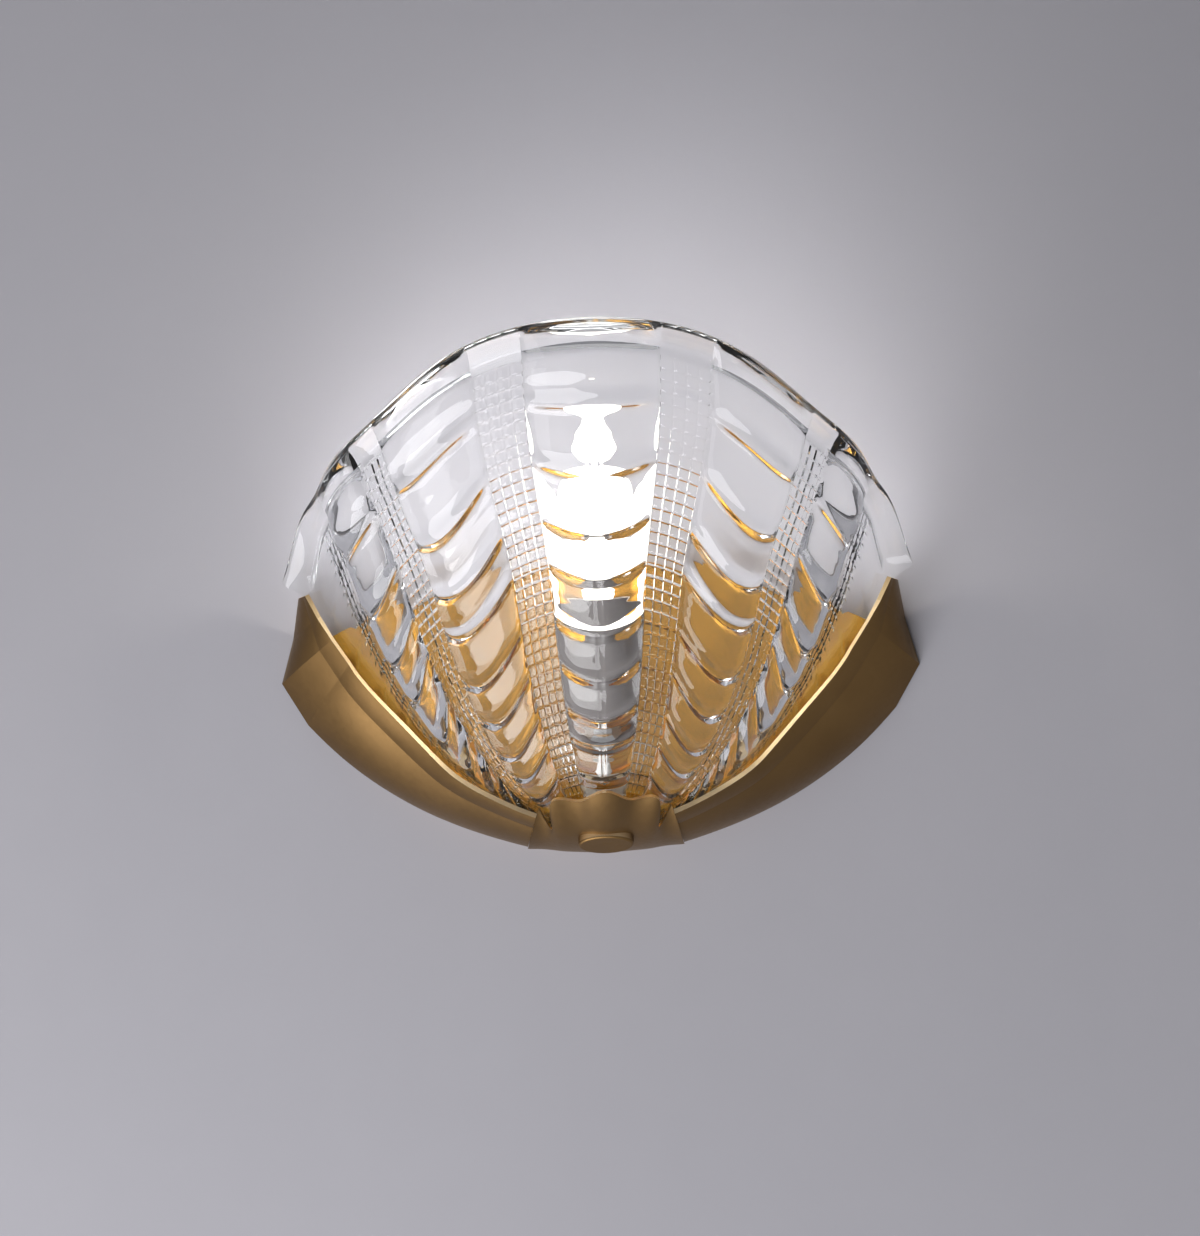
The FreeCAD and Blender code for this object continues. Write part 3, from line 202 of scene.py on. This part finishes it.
def tier_fold(t):
    """0..1 along the rows: up over 1.3 cells above a tier's lower edge, and down over the face at its upper end."""
    place = t * CELLS + TIER_SHIFT
    k = np.clip(np.searchsorted(TIER_ROWS, place, side="right") - 1, 0, len(TIER_ROWS) - 2)
    tall = (TIER_ROWS[k + 1] - TIER_ROWS[k]).astype(float)
    q = np.clip(place - TIER_ROWS[k], 0.0, tall)
    return smooth(q, 0.0, ROLL) * (1.0 - SAG * smooth(q, 1.0, tall - 1.0)) * (1.0 - smooth(q, tall - FACE, tall))


def inner_relief(deg, t):
    """How far the inside swells behind a tier, in mm: the glass is thickest where the tier stands out."""
    inside = smooth(1.0 - np.abs(flute_place(deg)), 0.0, 0.25)
    return INNER_SWELL * tier_fold(t) * inside * smooth(t, 0.15, 0.30) * (1.0 - smooth(t * CELLS, 40.5, 42.0))


print("tiers", len(TIER_ROWS) - 1)

# %% [markdown]
# ## The outside relief
#
# On the rows the relief is a sum of
# - tiers, as above, which fade out towards the strips;
# - rings: low waves, one per cell, that get stronger towards the foot;
# - cells: raised squares on the strips, with grooves between them;
# - the mould seam: a low band down the middle flute.

# %%
RING_LOW, RING_MORE = 0.03, 0.32
CELL_HEIGHT, CELL_SET_IN, GROOVE_FROM, GROOVE_TO = 0.75, 0.4, 0.02, 0.13
SEAM_HEIGHT = 0.3


def relief(deg, t):
    """Height of the outside pattern above the plain fluted bowl, in mm: tiers + rings + cells + seam."""
    u = flute_place(deg)
    cell = t * CELLS
    inside = smooth(1.0 - np.abs(u), 0.0, 0.15)
    keep = smooth(t, 0.02, 0.10) * (1.0 - smooth(cell, 42.0, 43.5))
    tiers = (TIER_HEIGHT * tier_fold(t) - TIER_SET_IN) * keep * (0.2 + 0.8 * inside)
    rings = (RING_LOW + RING_MORE * (1.0 - smooth(t, 0.10, 0.26))) * np.cos(2.0 * np.pi * cell) * inside * keep
    strip = (np.abs(u) > 1.0) & (np.abs(deg) < SKIRT_STRIP)
    across = np.mod(deg - FLUTE / 2.0, CELL_DEG) / CELL_DEG
    along = np.mod(cell, 1.0)
    raised = smooth(np.minimum(across, 1.0 - across), GROOVE_FROM, GROOVE_TO)
    raised = raised * smooth(np.minimum(along, 1.0 - along), GROOVE_FROM, GROOVE_TO)
    cells = np.where(strip, CELL_HEIGHT * raised - CELL_SET_IN, 0.0)
    cells = cells * smooth(t, 0.06, 0.12) * (1.0 - smooth(cell, 43.0, 43.1))
    seam = SEAM_HEIGHT * (1.0 - smooth(np.abs(deg), 0.4, 1.0))
    seam = seam * smooth(cell, 5.0, 6.0) * (1.0 - smooth(cell, 37.0, 38.0))
    return tiers + rings + cells + seam


deg, t = np.meshgrid(columns, t_out)
lift = relief(deg, t)
lift[0] = 0.0
print("relief from", round(float(lift.min()), 2), "to", round(float(lift.max()), 2), "mm")

# %% [markdown]
# ## Margin and wall surfaces
#
# The flutes close with round ends below the rim. Above them the wall flares outward as a plain clear margin. The
# photo shows a thin edge there, so the margin's underside is hollowed and leaves 3.5 mm at the front and 2.2 mm at the
# wall of the solid's 5 mm. The inside follows the flutes more weakly than the outside.

# %%
FOOT, FLOOR, INNER_SHARE = 3.0, 7.5, 0.8
FLUTE_TOP = 0.965


def flute_rise(t, share):
    """1 along the flutes, with a quarter-ellipse end below the rim: sqrt(1 - ((t - a) / (1 - a))^2)."""
    past = np.clip(t - FLUTE_TOP, 0.0, None) / (1.0 - FLUTE_TOP)
    return share * np.sqrt(np.clip(1.0 - past ** 2, 0.0, 1.0))


def margin(deg):
    """Width of the plain rim outside the bowl: 6 mm at the front and 11 mm at the wall."""
    return 6.0 + 5.0 * (deg / 90.0) ** 4


def edge_lift(deg):
    """How far the rim's underside is hollowed: 1.5 mm at the front, 2.8 mm at the wall."""
    return 1.5 + 1.3 * smooth(np.abs(deg), 55.0, 85.0)


def surface(deg, t, floor, share, offset, flared):
    """A wall surface: plan at the row's height. Near the rim it turns outward, parallel to the rim."""
    z = row_height(deg, t, floor)
    rise = flute_rise(t, share)
    near = flared * np.clip((t - FLUTE_TOP) / 0.035, 0.0, 1.0) ** 2.5
    x, d = plan(deg, z, rise, offset + margin(deg) * near)
    z = z + RIM_SLOPE * (d - plan(deg, z, rise, offset)[1]) + edge_lift(deg) * near
    return x, d, z


xo, do, zo = surface(deg, t, FOOT, 1.0, lift, 1.0)
print("widest", round(2.0 * float(xo.max()), 1), "mm, deepest", round(float(do.max()), 1), "mm")

# %% [markdown]
# ## All rows of the loop
#
# The loop goes up the outside, round the rim, down the inside, and over the floor and the flat back to the foot.
# Each rim row is given by its height above the rim's underside and its distance from the outermost line.

# %%
EDGE_ROWS = ((0.15, -0.05), (0.45, -0.1), (0.75, 0.0), (0.92, 0.35), (1.0, 1.0))
INNER_TOP, INNER_SPLIT, INNER_LOW = 0.995, 0.93, 0.06


def rim_row(raised, inward):
    """A row of the rim: raised above its underside, and moved inward from its outermost line."""
    base = rim_height(columns, -RIM_THICK)
    x, d = plan(columns, base, 0.0, margin(columns) - inward)
    d0 = plan(columns, base, 0.0, 0.0)[1]
    return x, d, base + RIM_SLOPE * (d - d0) + raised


rows = [(xo[i], do[i], zo[i]) for i in range(len(t_out))]
for part, inward in EDGE_ROWS:
    rows.append(rim_row(edge_lift(columns) + part * (RIM_THICK - edge_lift(columns)), inward))
for share in (0.35, 0.7):
    rows.append(rim_row(RIM_THICK, share * (margin(columns) + WALL)))
rows.append(rim_row(RIM_THICK, margin(columns) + WALL - 0.8))
rows.append(rim_row(RIM_THICK - 0.6, margin(columns) + WALL))

upper_rows, lower_rows = np.linspace(INNER_TOP, INNER_SPLIT, 12), np.linspace(0.92, INNER_LOW, 36)
inner_rows = np.concatenate([upper_rows, lower_rows, face_rows[face_rows > 6.0] / CELLS])
for ti in np.sort(inner_rows)[::-1]:
    tt = np.full_like(columns, ti)
    rows.append(surface(columns, tt, FLOOR, INNER_SHARE, -WALL - inner_relief(columns, tt), 0.0))

floor_level, foot_level = np.full_like(columns, FLOOR), np.full_like(columns, FOOT)
back_line = np.full_like(columns, BACK)
xf, df = plan(columns, floor_level, 1.0, -WALL)
rows.append((xf, df, floor_level))
rows.append((xf, back_line, floor_level))
rows.append((rows[0][0], back_line, foot_level))
grid = np.array(rows)
print("rows in the loop", grid.shape[0], "triangles about", 2 * grid.shape[0] * grid.shape[2])

# %% [markdown]
# ## One closed mesh
#
# Rows and columns become quads; the last row joins the first. Each of the two ends at the wall is closed by one
# many-sided face, which is then cut into triangles.

# %%
def closed_mesh(name, grid):
    """Quads between neighbouring rows and columns, with both ends of the loop filled."""
    nv, nu = grid.shape[0], grid.shape[2]
    pts = np.stack([grid[:, 0], -grid[:, 1], grid[:, 2] - LOWEST], -1).reshape(-1, 3) * MM
    r, c = np.meshgrid(np.arange(nv), np.arange(nu - 1), indexing="ij")
    r2 = (r + 1) % nv
    quads = np.stack([r * nu + c, r * nu + c + 1, r2 * nu + c + 1, r2 * nu + c], -1).reshape(-1, 4)
    faces = [tuple(q) for q in quads.tolist()]
    faces.append(tuple((np.arange(nv) * nu).tolist()))
    faces.append(tuple((np.arange(nv) * nu + nu - 1)[::-1].tolist()))
    mesh = bpy.data.meshes.new(name)
    mesh.from_pydata(pts.tolist(), [], faces)
    mesh.update()
    obj = bpy.data.objects.new(name, mesh)
    bpy.context.scene.collection.objects.link(obj)
    return obj


def tidy_mesh(obj, angle):
    """Joins doubled points, turns the faces outward and shades smoothly across edges under an angle."""
    bm = bmesh.new()
    bm.from_mesh(obj.data)
    bmesh.ops.remove_doubles(bm, verts=bm.verts, dist=1e-6)
    bmesh.ops.dissolve_degenerate(bm, edges=bm.edges, dist=1e-7)
    bmesh.ops.triangulate(bm, faces=[f for f in bm.faces if len(f.verts) > 4])
    bmesh.ops.recalc_face_normals(bm, faces=bm.faces)
    open_edges = sum(1 for e in bm.edges if not e.is_manifold)
    limit = math.radians(angle)
    for f in bm.faces:
        f.smooth = True
    for e in bm.edges:
        e.smooth = not (e.is_manifold and e.calc_face_angle(0.0) > limit)
    bm.to_mesh(obj.data)
    bm.free()
    return open_edges


glass = closed_mesh("pressed_shell", grid)
open_edges = tidy_mesh(glass, 50.0)
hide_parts("glass_shell")
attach(glass, "glass")
tris = sum(len(p.vertices) - 2 for p in glass.data.polygons)
print("open edges", open_edges, "triangles", tris)

# %% [markdown]
# ## Helpers for materials
#
# Small helpers keep the node trees short. `cloudy` is a group that every material shares: a broad noise for slow
# changes of colour and a fine one for roughness and grain. One group is easier to change than a copy in each tree.

# %%
def group(name, outputs, build):
    """A shader node group with a Vector and a Scale input and named outputs, filled by a function."""
    tree = bpy.data.node_groups.new(name, "ShaderNodeTree")
    tree.interface.new_socket("Vector", in_out="INPUT", socket_type="NodeSocketVector")
    tree.interface.new_socket("Scale", in_out="INPUT", socket_type="NodeSocketFloat").default_value = 1.0
    for label, kind in outputs:
        tree.interface.new_socket(label, in_out="OUTPUT", socket_type=kind)
    build(tree, tree.nodes.new("NodeGroupInput"), tree.nodes.new("NodeGroupOutput"))
    return tree


def cloudy_nodes(tree, start, end):
    """Broad clouds and fine grain from two noise textures."""
    broad = tree.nodes.new("ShaderNodeTexNoise")
    broad.inputs["Detail"].default_value = 4.0
    fine = tree.nodes.new("ShaderNodeTexNoise")
    fine.inputs["Detail"].default_value = 2.0
    times = tree.nodes.new("ShaderNodeMath")
    times.operation = "MULTIPLY"
    times.inputs[1].default_value = 14.0
    tree.links.new(start.outputs["Vector"], broad.inputs["Vector"])
    tree.links.new(start.outputs["Vector"], fine.inputs["Vector"])
    tree.links.new(start.outputs["Scale"], broad.inputs["Scale"])
    tree.links.new(start.outputs["Scale"], times.inputs[0])
    tree.links.new(times.outputs[0], fine.inputs["Scale"])
    tree.links.new(broad.outputs["Fac"], end.inputs["Broad"])
    tree.links.new(fine.outputs["Fac"], end.inputs["Fine"])


CLOUDY = group("cloudy", [("Broad", "NodeSocketFloat"), ("Fine", "NodeSocketFloat")], cloudy_nodes)
print("shared group", CLOUDY.name)

# %%
CLOUD_FROM, CLOUD_TO = 0.3, 0.7


def material(name):
    """An empty node material and its output."""
    mat = bpy.data.materials.new(name)
    mat.use_nodes = True
    tree = mat.node_tree
    tree.nodes.clear()
    return mat, tree, tree.nodes.new("ShaderNodeOutputMaterial")


def clouds(tree, scale):
    """The shared group on object coordinates."""
    coords = tree.nodes.new("ShaderNodeTexCoord")
    node = tree.nodes.new("ShaderNodeGroup")
    node.node_tree = CLOUDY
    node.inputs["Scale"].default_value = scale
    tree.links.new(coords.outputs["Object"], node.inputs["Vector"])
    return node


def clouded_colour(tree, mask, low, high):
    """One colour to another over the broad clouds."""
    node = tree.nodes.new("ShaderNodeValToRGB")
    for element, place, colour in zip(node.color_ramp.elements, (CLOUD_FROM, CLOUD_TO), (low, high)):
        element.position = place
        element.color = (*colour, 1.0)
    tree.links.new(mask.outputs["Broad"], node.inputs["Fac"])
    return node.outputs["Color"]


def grained_value(tree, mask, low, high):
    """One value to another over the fine grain."""
    node = tree.nodes.new("ShaderNodeMapRange")
    limits = {"From Min": CLOUD_FROM, "From Max": CLOUD_TO, "To Min": low, "To Max": high}
    for label, value in limits.items():
        node.inputs[label].default_value = value
    tree.links.new(mask.outputs["Fine"], node.inputs["Value"])
    return node.outputs["Result"]


# %% [markdown]
# ## Brass and other solid finishes
#
# The arms and the clasp are satin brass. Their lips carry a painted highlight: a lighter colour that stands in for the
# gleam of the polish on their edge. Of the faces that show from the front, only those of the lip look up, so a mask
# from the surface's direction finds them, and no image map is needed.

# %%
# Painted highlight on the lips: its colour, and the range of facing up over which it fades in.
LIP_FROM, LIP_TO, LIP_HIGHLIGHT_COLOUR = 0.2, 0.5, (0.86, 0.68, 0.42, 1.0)
GRAIN_DEPTH = 0.0003


def upward_highlight_mask(tree):
    """Mask for the painted highlight: 1 on faces that look up, the lips of the arms and of the clasp."""
    coords = tree.nodes.new("ShaderNodeTexCoord")
    split = tree.nodes.new("ShaderNodeSeparateXYZ")
    node = tree.nodes.new("ShaderNodeMapRange")
    node.inputs["From Min"].default_value = LIP_FROM
    node.inputs["From Max"].default_value = LIP_TO
    tree.links.new(coords.outputs["Normal"], split.inputs["Vector"])
    tree.links.new(split.outputs["Z"], node.inputs["Value"])
    return node.outputs["Result"]


def solid_material(name, dark, light, metallic, rough, scale, bump=0.0, lip_highlight=False):
    """A finish with clouded colour, varied roughness and a fine grain; the last flag adds a painted highlight on faces
    that look up.
    """
    mat, tree, out = material(name)
    bsdf = tree.nodes.new("ShaderNodeBsdfPrincipled")
    bsdf.inputs["Metallic"].default_value = metallic
    mask = clouds(tree, scale)
    colour = clouded_colour(tree, mask, dark, light)
    # Painted highlight: faces that look up are mixed towards a light brass colour.
    if lip_highlight:
        mix = tree.nodes.new("ShaderNodeMix")
        mix.data_type = "RGBA"
        tree.links.new(upward_highlight_mask(tree), mix.inputs["Factor"])
        tree.links.new(colour, mix.inputs["A"])
        mix.inputs["B"].default_value = LIP_HIGHLIGHT_COLOUR
        colour = mix.outputs["Result"]
    tree.links.new(colour, bsdf.inputs["Base Color"])
    tree.links.new(grained_value(tree, mask, *rough), bsdf.inputs["Roughness"])
    if bump:
        grain = tree.nodes.new("ShaderNodeBump")
        grain.inputs["Strength"].default_value = bump
        grain.inputs["Distance"].default_value = GRAIN_DEPTH
        tree.links.new(mask.outputs["Fine"], grain.inputs["Height"])
        tree.links.new(grain.outputs["Normal"], bsdf.inputs["Normal"])
    tree.links.new(bsdf.outputs["BSDF"], out.inputs["Surface"])
    return mat


# name: dark colour, light colour, metallic, roughness range, scale of the clouds, grain strength, painted lip highlight
FINISHES = {
    "satin_brass": ((0.165, 0.098, 0.038), (0.204, 0.122, 0.048), 1.0, (0.40, 0.47), 25.0, 0.10, True),
    "polished_brass": ((0.70, 0.355, 0.055), (0.78, 0.405, 0.07), 1.0, (0.20, 0.24), 6.0),
    "zinc_steel": ((0.48, 0.49, 0.50), (0.58, 0.59, 0.60), 1.0, (0.30, 0.42), 80.0),
    "clear_silicone": ((0.66, 0.66, 0.64), (0.74, 0.74, 0.72), 0.0, (0.45, 0.55), 60.0),
    # white_plastic is painted shade: the holder is white, darkened here to a dark grey that stands in for the shade the
    # bulb's base keeps on it.
    "white_plastic": ((0.125, 0.112, 0.11), (0.155, 0.142, 0.14), 0.0, (0.35, 0.45), 70.0, 0.05),
    "sleeve_white": ((0.62, 0.61, 0.60), (0.72, 0.71, 0.70), 0.0, (0.6, 0.8), 300.0, 0.3),
    "core_insulation": ((0.58, 0.57, 0.54), (0.66, 0.65, 0.62), 0.0, (0.35, 0.45), 90.0),
    "nickel": ((0.60, 0.59, 0.57), (0.70, 0.69, 0.67), 1.0, (0.20, 0.30), 80.0),
    "black_glass": ((0.01, 0.01, 0.012), (0.02, 0.02, 0.022), 0.0, (0.1, 0.2), 80.0),
}
looks = {name: solid_material(name, *values) for name, values in FINISHES.items()}
print("solid finishes", len(looks))

# %% [markdown]
# ## Glass and light
#
# Clear glass casts soft bright patterns that take very many samples. So the shell is real glass for what is seen and
# reflected, and a clear film for shadow rays, which lets the lamps light what is behind it.
# The bulb's envelope glows by itself and is clear for shadow rays, so that a lamp inside it shines out.

# %%
DIMMER_GLASS, DIMMER_GLOW = 0.985, 0.96


def seen_or_shadow(tree, out, seen, film_colour):
    """The seen shader for every ray but shadow rays, which pass through a clear film."""
    path = tree.nodes.new("ShaderNodeLightPath")
    mix = tree.nodes.new("ShaderNodeMixShader")
    film = tree.nodes.new("ShaderNodeBsdfTransparent")
    film.inputs["Color"].default_value = (*film_colour, 1.0)
    tree.links.new(path.outputs["Is Shadow Ray"], mix.inputs["Fac"])
    tree.links.new(seen, mix.inputs[1])
    tree.links.new(film.outputs["BSDF"], mix.inputs[2])
    tree.links.new(mix.outputs["Shader"], out.inputs["Surface"])


def glass_material(name, colour, clear, rough):
    """Clear glass with a slightly clouded tint and roughness."""
    mat, tree, out = material(name)
    pane = tree.nodes.new("ShaderNodeBsdfGlass")
    pane.inputs["IOR"].default_value = 1.5
    mask = clouds(tree, 40.0)
    dim = tuple(c * DIMMER_GLASS for c in colour)
    tree.links.new(clouded_colour(tree, mask, dim, colour), pane.inputs["Color"])
    tree.links.new(grained_value(tree, mask, *rough), pane.inputs["Roughness"])
    seen_or_shadow(tree, out, pane.outputs["BSDF"], clear)
    return mat


def lit_material(name, colour, strength):
    """A glowing surface with slightly clouded light."""
    mat, tree, out = material(name)
    glow = tree.nodes.new("ShaderNodeEmission")
    mask = clouds(tree, 30.0)
    dim = tuple(c * DIMMER_GLOW for c in colour)
    tree.links.new(clouded_colour(tree, mask, dim, colour), glow.inputs["Color"])
    glow.inputs["Strength"].default_value = strength
    seen_or_shadow(tree, out, glow.outputs["Emission"], (1.0, 1.0, 1.0))
    return mat


looks["pressed_glass"] = glass_material("pressed_glass", (0.99, 0.995, 0.995), (0.96, 0.96, 0.96), (0.0, 0.012))
looks["bulb_glass"] = lit_material("bulb_glass", (1.0, 0.95, 0.88), 2.6)
looks["glowing_filament"] = lit_material("glowing_filament", (1.0, 0.93, 0.82), 60.0)

slots = {s["node"]: s["material_slot"] for s in frame["record"]["subparts"]}
for node, obj in frame["nodes"].items():
    obj.data.materials.clear()
    obj.data.materials.append(looks[slots[node]])
glass.data.materials.append(looks["pressed_glass"])
print("materials", len(looks))

# %% [markdown]
# ## The lamps and the wall
#
# In the photo the wall is brightest around the lit bulb and at the lower left. A point lamp inside the bulb lights the
# wall and passes through the shell's glass; a small area lamp adds to the glow above the rim; two large ones, below
# and to the left, give the room's light. Their strengths were set by comparing renders with the photo.

# %%
def area(name, place, target, size, power, colour):
    """A square area lamp at a place, turned to a target."""
    lamp = bpy.data.lights.new(name, "AREA")
    lamp.size = size
    lamp.energy = power
    lamp.color = colour
    obj = bpy.data.objects.new(name, lamp)
    obj.location = place
    obj.rotation_euler = (Vector(target) - Vector(place)).to_track_quat("-Z", "Y").to_euler()
    bpy.context.scene.collection.objects.link(obj)
    return obj


DAYLIGHT, LAMPLIGHT = (1.0, 0.99, 1.0), (1.0, 0.95, 0.90)
bulb = bpy.data.lights.new("bulb_light", "POINT")
bulb.energy = 0.021
bulb.shadow_soft_size = 0.016
bulb.color = (1.0, 0.93, 0.86)
bulb_obj = bpy.data.objects.new("bulb_light", bulb)
bulb_obj.location = (0.0, -0.054, 0.094)
bpy.context.scene.collection.objects.link(bulb_obj)

area("room_left", (-0.9, -1.2, -1.4), (0, 0, 0.05), 1.8, 46.5, DAYLIGHT)
area("room_side", (-1.3, -1.1, -0.1), (0, 0, 0.0), 1.0, 3.5, DAYLIGHT)
area("halo", (0.0, -0.10, 0.20), (0, 0.0, 0.17), 0.16, 0.007, LAMPLIGHT).visible_glossy = False
print("lamps", len(bpy.data.lights))

# %%
HALF_WALL, BEHIND = 3.0, 0.0006
corners = [(-HALF_WALL, -HALF_WALL), (HALF_WALL, -HALF_WALL), (HALF_WALL, HALF_WALL), (-HALF_WALL, HALF_WALL)]
wall_mesh = bpy.data.meshes.new("wall")
wall_mesh.from_pydata([(x, BEHIND, z) for x, z in corners], [], [(0, 1, 2, 3)])
wall = bpy.data.objects.new("wall", wall_mesh)
bpy.context.scene.collection.objects.link(wall)
paint = solid_material("painted_wall", (0.50, 0.495, 0.54), (0.52, 0.515, 0.56), 0.0, (0.85, 0.95), 3.0)
wall.data.materials.append(paint)
print("wall", 2.0 * HALF_WALL, "m square,", BEHIND * 1000.0, "mm behind the part")

# %% [markdown]
# ## The room around it
#
# The wall needs a dim world, or its shading from lower left to upper right goes flat, while brass and glass need
# something bright to mirror. So the world is dim as a light, and brighter for mirrored rays and rays that glass bends.

# %%
def background(tree, colour, strength):
    """A plain background of one colour."""
    node = tree.nodes.new("ShaderNodeBackground")
    node.inputs["Color"].default_value = (*colour, 1.0)
    node.inputs["Strength"].default_value = strength
    return node.outputs["Background"]


world = bpy.data.worlds.new("room")
world.use_nodes = True
sky = world.node_tree
sky.nodes.remove(sky.nodes["Background"])
path = sky.nodes.new("ShaderNodeLightPath")
either = sky.nodes.new("ShaderNodeMath")
either.operation = "MAXIMUM"
mirrored = sky.nodes.new("ShaderNodeMixShader")
sky.links.new(path.outputs["Is Glossy Ray"], either.inputs[0])
sky.links.new(path.outputs["Is Transmission Ray"], either.inputs[1])
sky.links.new(either.outputs[0], mirrored.inputs["Fac"])
sky.links.new(background(sky, (0.78, 0.78, 0.82), 0.055), mirrored.inputs[1])
sky.links.new(background(sky, (0.78, 0.77, 0.80), 0.56), mirrored.inputs[2])
sky.links.new(mirrored.outputs["Shader"], sky.nodes["World Output"].inputs["Surface"])
bpy.context.scene.world = world
print("world", world.name)

# %% [markdown]
# ## The camera
#
# A level view from 1.37 m with an 80 mm lens, rolled by 1.8 degrees. Distance, shift and roll were found by laying
# the rim's formula over the photo.

# %%
ROLL_DEGREES = -1.8
cam = bpy.data.cameras.new("view")
cam.lens = 80.0
cam.sensor_width = 36.0
cam.shift_x, cam.shift_y = 0.0016, -0.0275
camera = bpy.data.objects.new("view", cam)
place = Matrix.Translation((0.0, -1.3736, 0.061))
upright = Matrix.Rotation(math.radians(90.0), 4, "X")
camera.matrix_world = place @ upright @ Matrix.Rotation(math.radians(ROLL_DEGREES), 4, "Z")
bpy.context.scene.collection.objects.link(camera)
bpy.context.scene.camera = camera
bpy.context.scene.view_settings.view_transform = "Standard"
print("camera", [round(c, 4) for c in camera.matrix_world.translation])
